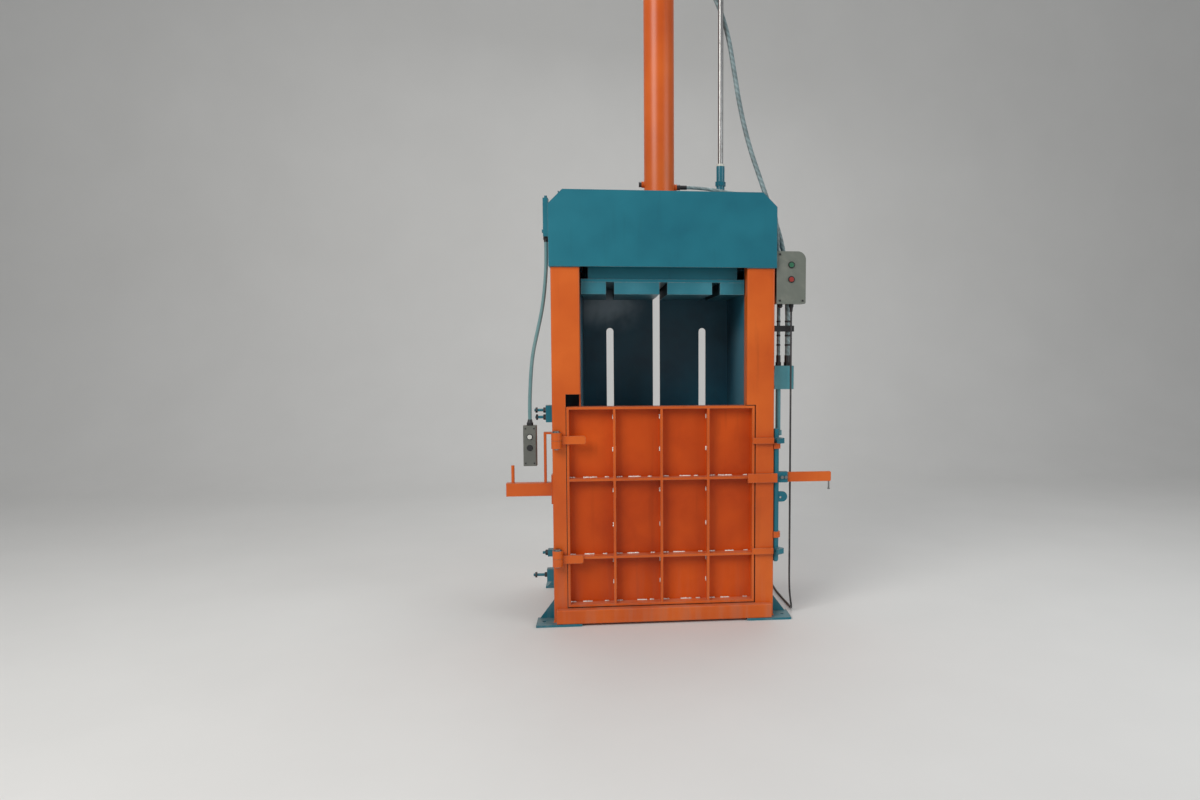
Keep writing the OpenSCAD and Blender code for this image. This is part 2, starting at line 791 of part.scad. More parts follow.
module crosshead_webs() color(teal)
    for (s = [-1, 1]) plate_xz(y_axis + s * web_off - web_t / 2, web_t) polygon([
        [-x_out, beam_z + web_up], [x_out, beam_z + web_up], [x_out, corner_in - x_out],
        [corner_in - z_under, z_under], [z_under - corner_in, z_under], [-x_out, corner_in - x_out]]);

module pin_bore(z) translate([x_hinge, y_hinge, z - 2 * knuckle_h])
    cylinder(d = pin_d + 2 * run_gap, h = 4 * knuckle_h);

module post_knuckles() color(orange) for (h = hinges) {
    z0 = h[0] - knuckle_gap / 2 - knuckle_h;
    difference() {
        union() {
            translate([x_hinge, y_hinge, z0]) cylinder(d = barrel_d, h = knuckle_h);
            block([x_hinge - saddle_w / 2, y_hinge, z0], [x_hinge + saddle_w / 2, y_front, z0 + knuckle_h]);
        }
        pin_bore(h[0]);
    }
}

module hinge_pins() color(steel) for (h = hinges) {
    top = h[0] + knuckle_gap / 2 + knuckle_h + seat_gap;
    bottom = h[0] - knuckle_gap / 2 - knuckle_h - pin_tail;
    translate([x_hinge, y_hinge, bottom]) cylinder(d = pin_d, h = top - bottom);
    translate([x_hinge, y_hinge, top]) cylinder(d = pin_head_d, h = pin_head_h);
}

module hinge_straps() color(orange) for (h = hinges) {
    z1 = h[0] + knuckle_gap / 2;
    x_end = x_hinge + h[2] - strap_r;
    difference() {
        union() {
            translate([x_hinge, y_hinge, z1]) cylinder(d = barrel_d, h = knuckle_h);
            block([x_hinge, y_door - strap_t, h[1] - strap_h / 2], [x_end, y_door, h[1] + strap_h / 2]);
            block([x_end, y_door - strap_t, h[1] - strap_r], [x_end + strap_r, y_door, h[1] + strap_r]);
            for (s = [-1, 1]) bar_y(x_end, y_door - strap_t, y_door, h[1] + s * strap_r, 2 * strap_r);
        }
        pin_bore(h[0]);
        block([x_hinge - over, y_door - strap_t - over, h[1] - strap_h],
            [x_hinge + barrel_d / 2 + knuckle_gap / 2, y_door + over, z1]);
    }
}

module door_panel() color(orange_dark) block([x_d0, y_panel, z_d0], [x_d1, y_panel + panel_t, z_d1]);

module door_frame() color(orange) difference() {
    block([x_d0, y_door, z_d0], [x_d1, y_panel, z_d1]);
    block([x_d0 + rib_t, y_door - over, z_d0 + rib_t], [x_d1 - rib_t, y_panel + over, z_d1 - rib_t]);
}

module door_ribs() color(orange) {
    for (i = [1:columns - 1])
        block([x_d0 + i * column_w - rib_t / 2, y_door, z_d0 + rib_t],
            [x_d0 + i * column_w + rib_t / 2, y_panel, z_d1 - rib_t]);
    for (z = rib_zs)
        block([x_d0 + rib_t, y_door, z - rib_t / 2], [x_d1 - rib_t, y_panel, z + rib_t / 2]);
}

module door_lugs() color(orange) {
    for (z = [lug_lo_z, lug_hi_z])
        block([x_d1 - rib_t, y_door - strap_t, z - lug_h / 2],
            [x_shaft - shaft_d / 2 - lug_short, y_door, z + lug_h / 2]);
    block([x_d1 - keeper_in, y_door - strap_t, lever_z - keeper_h / 2],
        [x_shaft, y_door, lever_z + keeper_h / 2]);
}

module lock_brackets() color(orange)
    for (z = [bracket_lo_z, bracket_hi_z]) difference() {
        union() {
            block([x_out, y_shaft - bracket_r, z - bracket_h / 2],
                [x_shaft, y_shaft + bracket_r, z + bracket_h / 2]);
            translate([x_shaft, y_shaft, z - bracket_h / 2]) cylinder(r = bracket_r, h = bracket_h);
        }
        translate([x_shaft, y_shaft, z - bracket_h]) cylinder(d = shaft_d + 2 * run_gap, h = 2 * bracket_h);
        block([x_out - post_d, y_front - post_d, z - bracket_h], [x_out, y_post, z + bracket_h]);
    }

module claw_outline() polygon([
    [claw_near + 2, -8], [claw_near, claw_face], [claw_reach, claw_face], [claw_reach, claw_back],
    [6, claw_back], [-claw_near, claw_back + 8], [-claw_near, -8]]);

module lock_claws() color(teal) translate([x_shaft, y_shaft, 0]) difference() {
    for (z = [lug_lo_z, lug_hi_z])
        translate([0, 0, z - claw_h / 2]) rotate([0, 0, lock_turn]) linear_extrude(claw_h) claw_outline();
    translate([0, 0, shaft_z0]) cylinder(d = shaft_d + 2 * run_gap, h = shaft_z1 - shaft_z0);
}

// The shaft with the ear and the two clevis plates, welded into one piece
module lock_shaft() color(teal) translate([x_shaft, y_shaft, 0]) difference() {
    union() {
        translate([0, 0, shaft_z0 + 6]) cylinder(d = shaft_d, h = shaft_z1 - shaft_z0 - 6);
        translate([0, 0, shaft_z0]) cylinder(d1 = shaft_d - 10, d2 = shaft_d, h = 6);
        block([0, -ear_t / 2, ear_z - ear_d / 2], [clevis_len - ear_d / 2, ear_t / 2, ear_z + ear_d / 2]);
        bar_y(clevis_len - ear_d / 2, -ear_t / 2, ear_t / 2, ear_z, ear_d);
        for (s = [-1, 1]) {
            y = s * (lever_t / 2 + seat_gap / 2 + clevis_t / 2);
            block([0, y - clevis_t / 2, lever_z - clevis_h / 2],
                [clevis_len, y + clevis_t / 2, lever_z + clevis_h / 2]);
        }
    }
    bar_y(clevis_len - ear_d / 2 - 8, -ear_t, ear_t, ear_z - 4, ear_hole_d);
    for (x = lever_bolt_xs)
        bar_y(x, -2 * shaft_d, 2 * shaft_d, lever_z, lever_bolt_d + 2 * run_gap);
}

module lever() color(orange) translate([x_shaft, y_shaft, lever_z]) difference() {
    union() {
        block([lever_in, -lever_t / 2, -lever_h / 2], [lever_len - lever_r, lever_t / 2, lever_h / 2]);
        block([lever_len - lever_r, -lever_t / 2, lever_r - lever_h / 2],
            [lever_len, lever_t / 2, lever_h / 2 - lever_r]);
        for (s = [-1, 1])
            bar_y(lever_len - lever_r, -lever_t / 2, lever_t / 2, s * (lever_h / 2 - lever_r), 2 * lever_r);
    }
    for (x = lever_bolt_xs) bar_y(x, -lever_t, lever_t, 0, lever_bolt_d + 2 * run_gap);
}

// The clevis bolts with their nuts, and the pin under the lever's end
module lever_bolts() color(steel) translate([x_shaft, y_shaft, lever_z]) {
    half = lever_t / 2 + seat_gap / 2 + clevis_t;
    for (x = lever_bolt_xs) {
        translate([x, -half, 0]) rotate([90, 0, 0]) bolt(lever_bolt_d, 2 * half + lever_nut_h + 3);
        translate([x, half + lever_nut_h, 0]) rotate([90, 0, 0])
            cylinder(d = 1.8 * lever_bolt_d, h = lever_nut_h, $fn = 6);
    }
    translate([lever_len - lever_pin_d - 2, 0, -lever_h / 2 - lever_pin_len]) {
        cylinder(d = lever_pin_d, h = lever_pin_len);
        cylinder(d = lever_pin_d + 5, h = 6);
    }
}

module at_flange_bolts() {
    for (i = [0:flange_bolts - 1])
        translate([0, y_axis, 0]) rotate([0, 0, (i + 0.5) * 360 / flange_bolts])
            translate([flange_pcd / 2, 0, 0]) children();
}

module at_gland_bolts() {
    for (i = [0:5])
        translate([0, y_axis, 0]) rotate([0, 0, i * 60]) translate([gland_pcd / 2, 0, 0]) children();
}

module at_rod_bolts() {
    for (i = [0:5])
        translate([0, y_axis, 0]) rotate([0, 0, i * 60 + 30]) translate([rod_pcd / 2, 0, 0]) children();
}

module cylinder_tube() color(orange) difference() {
    union() {
        translate([0, y_axis, z_top]) cylinder(r = tube_r, h = z_tube - z_top);
        translate([0, y_axis, z_top]) cylinder(d = flange_d, h = flange_t);
        bar_x(0, port_boss_x, y_axis, z_rod_port, 2 * port_boss_r);
        bar_x(-port_boss_x, 0, y_axis, z_bleed, 2 * port_boss_r);
    }
    translate([0, y_axis, z_top - over]) cylinder(d = bore_d, h = z_tube - z_top + 2 * over);
    at_flange_bolts() translate([0, 0, z_top - over]) cylinder(d = bolt_d + 1, h = flange_t + 2 * over);
    bar_x(0, port_boss_x + over, y_axis, z_rod_port, 2 * port_bore);
}

module cylinder_cap() color(orange) difference() {
    union() {
        translate([0, y_axis, z_tube]) cylinder(r = tube_r, h = cap_t - 6);
        translate([0, y_axis, z_tube + cap_t - 6]) cylinder(r1 = tube_r, r2 = tube_r - 6, h = 6);
        bar_x(0, port_boss_x, y_axis, z_cap_port, 2 * port_boss_r);
    }
    bar_x(0, port_boss_x + over, y_axis, z_cap_port, 2 * port_bore);
    translate([0, y_axis, z_tube - over]) cylinder(r = port_bore, h = cap_t / 2 + over);
}

module cylinder_gland() color(steel) difference() {
    union() {
        translate([0, y_axis, z_top - gland_down])
            cylinder(d = bore_d - 2 * run_gap, h = gland_down + gland_up);
        translate([0, y_axis, z_under - gland_flange_t]) cylinder(r = gland_flange_r, h = gland_flange_t);
    }
    translate([0, y_axis, z_top - gland_down - over])
        cylinder(d = rod_d + 2 * run_gap, h = gland_down + gland_up + 2 * over);
    at_gland_bolts() translate([0, 0, z_under - gland_flange_t - over])
        cylinder(d = rod_bolt_d + 1, h = gland_flange_t + 2 * over);
}

module cylinder_bolts() color(steel) {
    at_flange_bolts() translate([0, 0, z_top + flange_t]) bolt(bolt_d, flange_t + top_plate * 0.7);
    at_gland_bolts() translate([0, 0, z_under - gland_flange_t]) mirror([0, 0, 1])
        bolt(rod_bolt_d, gland_flange_t + 10);
}

// A hose's end: a hexagon nut and a ferrule, along +Z from its seat
module hose_end(d) {
    cylinder(d = d + 12, h = nut_len, $fn = 6);
    translate([0, 0, nut_len]) cylinder(d = d + 5, h = ferrule_len);
}

module hose_fittings() color(dark) {
    translate([port_boss_x, y_axis, z_cap_port]) rotate([0, 90, 0]) hose_end(hose_d);
    translate([port_boss_x, y_axis, z_rod_port]) rotate([0, 90, 0]) hose_end(hose_small_d);
    translate([-port_boss_x, y_axis, z_bleed]) rotate([0, -90, 0]) cylinder(d = 28, h = 14, $fn = 6);
    translate([hose_xs[0], block_y, block_top]) hose_end(hose_small_d);
    translate([hose_xs[1], block_y, block_top]) hose_end(hose_d);
    difference() {
        block([x_out, block_y - block_d / 2, clamp_z - clamp_h / 2],
            [x_block + block_w, block_y + block_d / 2, clamp_z + clamp_h / 2]);
        translate([hose_xs[0], block_y, clamp_z - clamp_h])
            cylinder(d = hose_small_d + 2 * seat_gap, h = 2 * clamp_h);
        translate([hose_xs[1], block_y, clamp_z - clamp_h])
            cylinder(d = hose_d + 2 * seat_gap, h = 2 * clamp_h);
    }
}

module hoses() color(dark) {
    tube_along(smooth(cap_route, 2), hose_d / 2, 10, [0, 1, 0]);
    tube_along(smooth(rod_route, 2), hose_small_d / 2, 10, [0, 1, 0]);
}

module coupling_block() color(teal) {
    z0 = block_top - block_tall;
    difference() {
        union() {
            block([x_block, block_y - block_d / 2, z0],
                [x_block + block_w, block_y + block_d / 2, block_top]);
            block([x_out, block_y - block_d / 2, z0 + block_tall * 0.2],
                [x_block, y_post, block_top - block_tall * 0.2]);
            translate([hose_xs[0], block_y, z0 - pipe_len]) cylinder(d = pipe_d, h = pipe_len);
            translate([hose_xs[0], block_y, z0 - pipe_len]) cylinder(d = pipe_d + 14, h = 26, $fn = 6);
        }
        translate([hose_xs[0], block_y, z0 - pipe_len - over])
            cylinder(r = pipe_d / 2 - 4, h = pipe_len * 0.5);
        translate([hose_xs[1], block_y, z0 - over]) cylinder(r = port_r, h = port_len + over);
    }
}

module piston_rod() color(steel) difference() {
    translate([0, y_axis, 0]) {
        translate([0, 0, z_bridge]) cylinder(d = rod_d, h = z_piston - z_bridge);
        translate([0, 0, z_bridge]) cylinder(d = rod_flange_d, h = rod_flange_t);
        translate([0, 0, z_piston]) cylinder(d = spigot_d, h = piston_h);
    }
    at_rod_bolts() translate([0, 0, z_bridge - over])
        cylinder(d = rod_bolt_d + 1, h = rod_flange_t + 2 * over);
}

module piston() color(steel) translate([0, y_axis, 0]) difference() {
    translate([0, 0, z_piston]) cylinder(d = bore_d - 4 * run_gap, h = piston_h);
    translate([0, 0, z_piston - over]) cylinder(d = spigot_d + 2 * run_gap, h = piston_h + 2 * over);
    for (z = ring_zs) translate([0, 0, z]) difference() {
        cylinder(d = bore_d + over, h = ring_h);
        translate([0, 0, -over]) cylinder(d = bore_d - 2 * ring_depth, h = ring_h + 2 * over);
    }
}

module piston_rings() color(dark) translate([0, y_axis, 0])
    for (z = ring_zs) translate([0, 0, z + seat_gap / 2]) difference() {
        cylinder(d = bore_d - 2 * run_gap, h = ring_h - seat_gap);
        translate([0, 0, -over]) cylinder(d = bore_d - 2 * ring_depth + 2 * run_gap, h = ring_h + 2 * over);
    }

module rod_bolts() color(steel)
    at_rod_bolts() translate([0, 0, z_bridge + rod_flange_t])
        bolt(rod_bolt_d, rod_flange_t + bridge_t * 0.7);

module platen_plate() color(teal) block([-platen_x, y_p0, z_plate], [platen_x, y_p1, z_neck]);

module platen_blocks() color(teal)
    strap_blocks(platen_x, y_p0, y_p1, platen_z, z_plate, platen_z + block_wall, z_plate + over);

// A box of flats with cross ribs and the bridge plate that carries the rod and the striker
module platen_neck() color(teal) difference() {
    union() {
        difference() {
            block([-neck_w / 2, y_p0 + neck_in, z_neck], [neck_w / 2, y_p1 - neck_in, z_bridge]);
            block([-neck_w / 2 + neck_t, y_p0 + neck_in + neck_t, z_neck - over],
                [neck_w / 2 - neck_t, y_p1 - neck_in - neck_t, z_bridge + over]);
        }
        for (s = [-1, 1]) {
            block([s * bridge_w / 2 - neck_t / 2, y_p0 + neck_in, z_neck],
                [s * bridge_w / 2 + neck_t / 2, y_p1 - neck_in, z_bridge - bridge_t]);
            block([-neck_w / 2, y_axis + s * bridge_w / 2 - neck_t / 2, z_neck],
                [neck_w / 2, y_axis + s * bridge_w / 2 + neck_t / 2, z_bridge - bridge_t]);
        }
        block([-neck_w / 2, y_axis - bridge_w / 2 - neck_t / 2, z_bridge - bridge_t],
            [neck_w / 2, y_axis + bridge_w / 2 + neck_t / 2, z_bridge]);
    }
    at_rod_bolts() translate([0, 0, z_bridge - bridge_t - over])
        cylinder(d = rod_bolt_d + 2 * run_gap, h = bridge_t + 2 * over);
}

module striker_rod() color(steel) translate([striker_x, y_axis, z_bridge]) {
    cylinder(d = striker_d, h = striker_len);
    cylinder(d = striker_d + 14, h = 12);
}

module striker_guide() color(teal) translate([striker_x, y_axis, z_top]) difference() {
    union() {
        cylinder(d = striker_d + 16, h = guide_h);
        cylinder(d = striker_d + 60, h = 10);
        translate([0, 0, guide_h / 2]) cylinder(d = striker_d + 28, h = 24, $fn = 6);
    }
    translate([0, 0, -over]) cylinder(d = striker_d + 4, h = guide_h + 2 * over);
}

module striker_bush() color([0.85, 0.85, 0.80]) translate([striker_x, y_axis, z_top + guide_h]) difference() {
    union() {
        cylinder(d = striker_d + 14, h = bush_h);
        translate([0, 0, -20]) cylinder(d = striker_d + 4 - 2 * run_gap, h = 20 + over);
    }
    translate([0, 0, -20 - over]) cylinder(d = striker_d + 2 * run_gap, h = bush_h + 20 + 2 * over);
}

// The box's outline seen from the front, with one large corner
module box_outline(inset) {
    r = 8;
    x0 = x_box + inset;
    x1 = x_box + box_w - inset;
    z0 = box_z + inset;
    z1 = box_z + box_h - inset;
    big = box_r - inset;
    block_2d([x0 + r, z0], [x1 - r, z0 + r]);
    block_2d([x0, z0 + r], [x1, z1 - big]);
    block_2d([x0 + r, z1 - big], [x1 - big, z1]);
    block_2d([x0, z1 - big], [x0 + r, z1 - r]);
    for (p = [[x0 + r, z0 + r], [x1 - r, z0 + r], [x0 + r, z1 - r]]) translate(p) circle(r = r);
    translate([x1 - big, z1 - big]) circle(r = big);
}

// The stepped hole of a push button, from its face at y inward
module button_hole(x, y, z, d, depth) {
    bar_y(x, y - over, y + depth, z, d + 2 * run_gap);
    bar_y(x, y + button_seat, y + depth, z, d + 6 + 4 * seat_gap);
}

// A push button that stands proud of a face at y and slides inward
module push_button(x, y, z, d) {
    bar_y(x, y - button_travel - button_out, y + button_seat + 2 * seat_gap, z, d);
    bar_y(x, y + button_seat + seat_gap, y + button_seat + seat_gap + button_flange, z, d + 6);
}

module starter_box() color(olive) difference() {
    union() {
        plate_xz(y_box + cover_d, box_d - cover_d) box_outline(0);
        block([x_out, y_box + box_d, box_z + 40],
            [x_box + box_w - 25, y_box + box_d + box_plate_t, beam_z - 5]);
    }
    plate_xz(y_box + cover_d - over, box_d - cover_d - box_wall + over) box_outline(box_wall);
    for (x = [blank_x, lead_x])
        translate([x, y_lead, box_z - over]) cylinder(d = 14, h = box_wall + 2 * over);
}

module starter_cover() color(olive) difference() {
    union() {
        difference() {
            plate_xz(y_box, cover_d) box_outline(0);
            plate_xz(y_box + box_wall, cover_d) box_outline(box_wall);
        }
        for (z = [start_z, stop_z]) {
            bar_y(box_x_mid, y_box, y_box + cover_d, z, button_d + 16);
            bar_y(box_x_mid, y_box - button_out, y_box, z, button_d + 12);
        }
        for (p = [[x_box + 16, box_z + 16], [x_box + box_w - 16, box_z + 16],
            [x_box + 16, box_z + box_h - 16]])
            bar_y(p[0], y_box - button_out, y_box + cover_d, p[1], 11);
    }
    for (z = [start_z, stop_z])
        button_hole(box_x_mid, y_box - button_out, z, button_d, cover_d + button_out + over);
}

module starter_button() color([0.1, 0.35, 0.2]) push_button(box_x_mid, y_box - button_out, start_z, button_d);

module stop_button() color([0.6, 0.1, 0.08]) push_button(box_x_mid, y_box - button_out, stop_z, button_d);

// A cable gland along -Z: a nut and a tapered boot
module gland(nut_d, low_d, drop) {
    translate([0, 0, -14]) cylinder(d = nut_d, h = 14, $fn = 6);
    translate([0, 0, -drop]) cylinder(d1 = low_d, d2 = nut_d - 5, h = drop - 14);
}

module cable_fittings() color(dark) {
    translate([lead_x, y_lead, box_z]) gland(24, lead_d + 3, box_z - lead_route[0][2]);
    translate([blank_x, y_lead, box_z]) gland(24, lead_d + 3, 19);
    for (x = [blank_x, lead_x]) translate([x, y_lead, box_z]) cylinder(d = 13, h = box_wall + 3);
    translate([cable_x, cable_y, bracket_z]) gland(cable_d + 8, cable_d + 2, bracket_z - cable_route[0][2]);
    translate([pendant_x, cable_y, pendant_top]) mirror([0, 0, 1])
        gland(cable_d + 14, cable_d + 2, cable_route[len(cable_route) - 1][2] - pendant_top);
}

module power_lead() color(dark) {
    tube_along(smooth(lead_route, 2), lead_d / 2, 8, [1, 0, 0]);
    tube_along(smooth(tail_route, 2), lead_d / 2, 8, [0, 0, 1]);
}

module power_coil() color(dark) translate([coil_x, coil_y, 0.5]) rotate_extrude()
    translate([coil_mid, lead_d * 1.5]) rsquare(3 * lead_d, 3 * lead_d, lead_d / 2);

module power_plug() color(dark) translate([plug_x, plug_y, plug_r]) rotate([0, -90, 0]) difference() {
    union() {
        cylinder(r1 = 10, r2 = 18, h = 30);
        translate([0, 0, 30]) cylinder(r = 24, h = 45);
        translate([0, 0, 75]) cylinder(r = plug_r, h = 40);
    }
    translate([0, 0, 85]) difference() {
        cylinder(r = plug_r - 3, h = 31);
        for (i = [0:3]) rotate([0, 0, i * 90]) translate([13, 0, -over]) cylinder(d = 6, h = 26);
    }
}

module pendant_bracket() color(teal) {
    block([-x_beam - bracket_out, cable_y - 30, bracket_z],
        [-x_beam, cable_y + 30, bracket_z + bracket_tall]);
    translate([-x_beam - bracket_out / 2, cable_y, bracket_z + bracket_tall]) cylinder(d = 14, h = 14);
    translate([-x_beam - bracket_out, cable_y, bracket_z + 28]) rotate([0, -90, 0])
        cylinder(d = 18, h = 7, $fn = 6);
}

module control_cable() color(teal) tube_along(smooth(cable_route, 2), cable_d / 2, 8, [0, 1, 0]);

module pendant() color(olive) difference() {
    translate([pendant_x, cable_y, pendant_top - pendant_h]) linear_extrude(pendant_h)
        rsquare(pendant_w, pendant_d, 10);
    for (z = pendant_button_zs) button_hole(pendant_x, y_pendant, z, pendant_button_d, button_seat + 12);
}

module pendant_up() color([0.85, 0.85, 0.85])
    push_button(pendant_x, y_pendant, pendant_button_zs[0], pendant_button_d);

module pendant_down() color([0.1, 0.1, 0.1])
    push_button(pendant_x, y_pendant, pendant_button_zs[1], pendant_button_d);

module reel_bracket() color(orange) {
    x0 = -x_out - reel_plate_t;
    y0 = reel_y - arm_d / 2;
    y1 = reel_y + arm_d / 2;
    plate_z = arm_z - arm_h - reel_plate_low;
    block([x0, y0 - 8, plate_z], [-x_out, y1 + 8, plate_z + reel_plate_h]);
    difference() {
        block([x0 - arm_len, y0, arm_z - arm_h], [x0, y1, arm_z]);
        block([x0 - arm_len + 6, y0 + 6, arm_z - arm_h - over], [x0 - 6, y1 - 6, arm_z - 6]);
    }
    translate([x0 - arm_len + reel_pin_in, reel_y, arm_z]) cylinder(d = reel_pin_d, h = reel_pin_h);
    block([upright_x - upright_t / 2, reel_y - upright_w / 2, arm_z],
        [upright_x + upright_t / 2, reel_y + upright_w / 2, arm_z + upright_h]);
    block([upright_x, reel_y - upright_w / 2, arm_z + upright_h - 10],
        [-x_out, reel_y + upright_w / 2, arm_z + upright_h]);
}

module side_lugs() color(teal)
    for (row = lug_rows) {
        block([-x_out - row[2], reel_y - 20, row[0] - row[1] / 2],
            [-x_out, reel_y + 20, row[0] + row[1] / 2]);
        for (stud = row[3])
            bar_x(-x_out - row[2] - stud[1], -x_out - row[2], reel_y, row[0] + stud[0], stud_d);
    }

posts_front();
posts_rear();
sills();
side_rails();
side_stiffeners();
side_walls();
back_wall();
back_stiffeners();
floor_plate();
floor_blocks();
door_stops();
feet();
crosshead_plates();
crosshead_ends();
crosshead_top();
crosshead_webs();
post_knuckles();
hinge_pins();
hinge_straps();
door_panel();
door_frame();
door_ribs();
door_lugs();
lock_brackets();
lock_shaft();
lock_claws();
lever();
lever_bolts();
cylinder_tube();
cylinder_cap();
cylinder_gland();
cylinder_bolts();
hose_fittings();
piston_rod();
piston();
piston_rings();
rod_bolts();
platen_plate();
platen_blocks();
platen_neck();
striker_rod();
striker_guide();
striker_bush();
hoses();
coupling_block();
starter_box();
starter_cover();
starter_button();
stop_button();
cable_fittings();
power_lead();
power_coil();
power_plug();
pendant_bracket();
control_cable();
pendant();
pendant_up();
pendant_down();
reel_bracket();
side_lugs();
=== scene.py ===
# %% [markdown]
# # A vertical recycling baler
#
# The machine is a tall welded frame with a press cylinder on top. Waste goes in over a ribbed
# door, a platen comes down on it, and the finished bale is tied with straps and taken out.
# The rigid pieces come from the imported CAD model. This lesson gives them worn paint, steel and
# rubber, and adds what CAD leaves out: weld beads, washers, screws, smooth hoses and the cords.

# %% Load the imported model
import json
import math
import random

import bpy
import bmesh
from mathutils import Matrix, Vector


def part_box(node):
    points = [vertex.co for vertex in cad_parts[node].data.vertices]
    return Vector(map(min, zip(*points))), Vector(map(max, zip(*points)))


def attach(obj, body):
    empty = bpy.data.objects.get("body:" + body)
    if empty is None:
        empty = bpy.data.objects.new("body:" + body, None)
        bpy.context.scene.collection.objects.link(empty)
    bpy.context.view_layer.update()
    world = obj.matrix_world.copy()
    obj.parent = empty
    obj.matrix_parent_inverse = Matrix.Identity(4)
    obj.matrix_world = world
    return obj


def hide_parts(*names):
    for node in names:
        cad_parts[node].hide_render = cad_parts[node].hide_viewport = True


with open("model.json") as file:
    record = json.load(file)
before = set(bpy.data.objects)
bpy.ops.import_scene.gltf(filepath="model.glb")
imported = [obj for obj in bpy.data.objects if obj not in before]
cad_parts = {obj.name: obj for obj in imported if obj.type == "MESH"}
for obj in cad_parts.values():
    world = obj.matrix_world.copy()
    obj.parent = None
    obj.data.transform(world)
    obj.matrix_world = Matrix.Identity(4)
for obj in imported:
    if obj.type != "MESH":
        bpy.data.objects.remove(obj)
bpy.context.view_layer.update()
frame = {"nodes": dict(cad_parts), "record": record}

nodes = frame["nodes"]

# %% [markdown]
# ## The camera
#
# The view was found by fitting straight edges of the frame, so its numbers are measured and not
# chosen. The lens is wide, as on a telephone, and the frame is shifted a little to one side.

# %% Camera
camera_data = bpy.data.cameras.new("camera")
camera_data.sensor_width = 36.0
camera_data.lens = 26.0
camera_data.shift_x = -0.083
camera = bpy.data.objects.new("camera", camera_data)
camera.location = (-0.280, -4.670, 1.428)
camera.rotation_euler = (math.radians(90 - 4.04), 0.0, math.radians(-6.05))
bpy.context.scene.collection.objects.link(camera)
bpy.context.scene.camera = camera
print("camera at", tuple(round(v, 3) for v in camera.location))


# %% [markdown]
# ## Routes that a cord follows
#
# A cord is one smooth line through listed points. A Catmull-Rom curve passes through every
# point, so the same few numbers give the same line here and in the CAD source.

# %% A smooth line through points
def smooth(points, steps):
    """Returns points on a Catmull-Rom curve, with that many steps between two given points."""
    p = [Vector(q) for q in points]
    line = []
    for i in range(len(p) - 1):
        a, b, c, d = p[max(i - 1, 0)], p[i], p[i + 1], p[min(i + 2, len(p) - 1)]
        for k in range(steps):
            t = k / steps
            line.append(0.5 * (2 * b + (c - a) * t + (2 * a - 5 * b + 4 * c - d) * t ** 2
                               + (3 * b - a - 3 * c + d) * t ** 3))
    return line + [p[-1]]


def line_length(line):
    """Returns the length of a line of points."""
    return sum((b - a).length for a, b in zip(line, line[1:]))


def millimetres(rows):
    """Turns route points in millimetres into metres."""
    return [[v / 1000 for v in row] for row in rows]


def tube(name, line, diameter, sides=4):
    """Makes a round tube along a line, as a mesh with closed ends."""
    data = bpy.data.curves.new(name, "CURVE")
    data.dimensions = "3D"
    data.bevel_depth = diameter / 2
    data.bevel_resolution = sides
    data.use_fill_caps = True
    spline = data.splines.new("POLY")
    spline.points.add(len(line) - 1)
    for point, co in zip(spline.points, line):
        point.co = (*co, 1.0)
    drawn = bpy.data.objects.new(name + "_line", data)
    bpy.context.scene.collection.objects.link(drawn)
    depsgraph = bpy.context.evaluated_depsgraph_get()
    mesh = bpy.data.meshes.new_from_object(drawn.evaluated_get(depsgraph))
    bpy.data.objects.remove(drawn)
    piece = bpy.data.objects.new(name, mesh)
    bpy.context.scene.collection.objects.link(piece)
    for polygon in mesh.polygons:
        polygon.use_smooth = True
    return piece


# %% [markdown]
# ## The power lead
#
# The motor starter is fed by a 10 mm lead that drops to the floor, runs back beside the frame
# and ends in a plug. Its spare length is wound into a coil behind the machine. Each turn keeps
# to one place of a grid of three by three, and moves to the next place where the turn after it
# has already moved on, so the turns never cross.

# %% Power lead
LEAD_D = 0.010
COIL = Vector((0.595, 0.495, 0.0))
PLACES = [(65, 5.5), (55, 5.5), (45, 5.5), (45, 15.5), (45, 25.5), (55, 25.5), (55, 15.5),
          (65, 15.5), (65, 25.5)]
lead_drop = millimetres([
    [650, -315, 1565], [650, -315, 1450], [650, -315, 1330], [650, -315, 1200], [650, -315, 1050],
    [650, -315, 900], [650, -315, 750], [650, -315, 600], [650, -315, 450], [650, -315, 300],
    [650, -315, 190], [653, -313, 115], [662, -300, 58], [672, -268, 20], [676, -225, 7],
    [674, -170, 5.5], [669, -100, 5.5], [664, -20, 5.5], [660, 70, 5.5], [660, 160, 5.5],
    [661, 250, 5.5], [660, 340, 5.5], [660, 410, 5.5], [660, 478, 5.5]])
lead_tail = millimetres([
    [600, 560, 25], [575, 561, 25], [550, 560, 27], [532, 560, 28], [526, 560, 28], [520, 560, 28]])


def coil_line(step=10.0, window=40.0, last=80.0):
    """Returns the coil's points, one for each step of angle, in metres."""
    points = []
    angle = step
    end = 360.0 * (len(PLACES) - 1) + last
    while angle <= end:
        turn = int(angle // 360)
        within = angle - 360 * turn
        start = 320.0 - window * turn
        share = min(max((within - start) / window, 0.0), 1.0) if turn < len(PLACES) - 1 else 0.0
        share = share * share * (3 - 2 * share)
        here, then = PLACES[turn], PLACES[min(turn + 1, len(PLACES) - 1)]
        r, z = (here[i] + (then[i] - here[i]) * share for i in (0, 1))
        a = math.radians(angle)
        points.append(COIL + Vector((r * math.cos(a), r * math.sin(a), z)) / 1000)
        angle += step
    return points


lead_line = smooth(lead_drop, 3) + coil_line() + smooth(lead_tail, 3)
power_cord = tube("power_cord", lead_line, LEAD_D)
lead_length = line_length(lead_line)
print("power lead:", round(lead_length, 3), "m")

# %% [markdown]
# ## The control cable
#
# The operator holds a pendant on a thick cable from the end of the crosshead. It hangs free, so
# it is a slow bend and not a straight line.

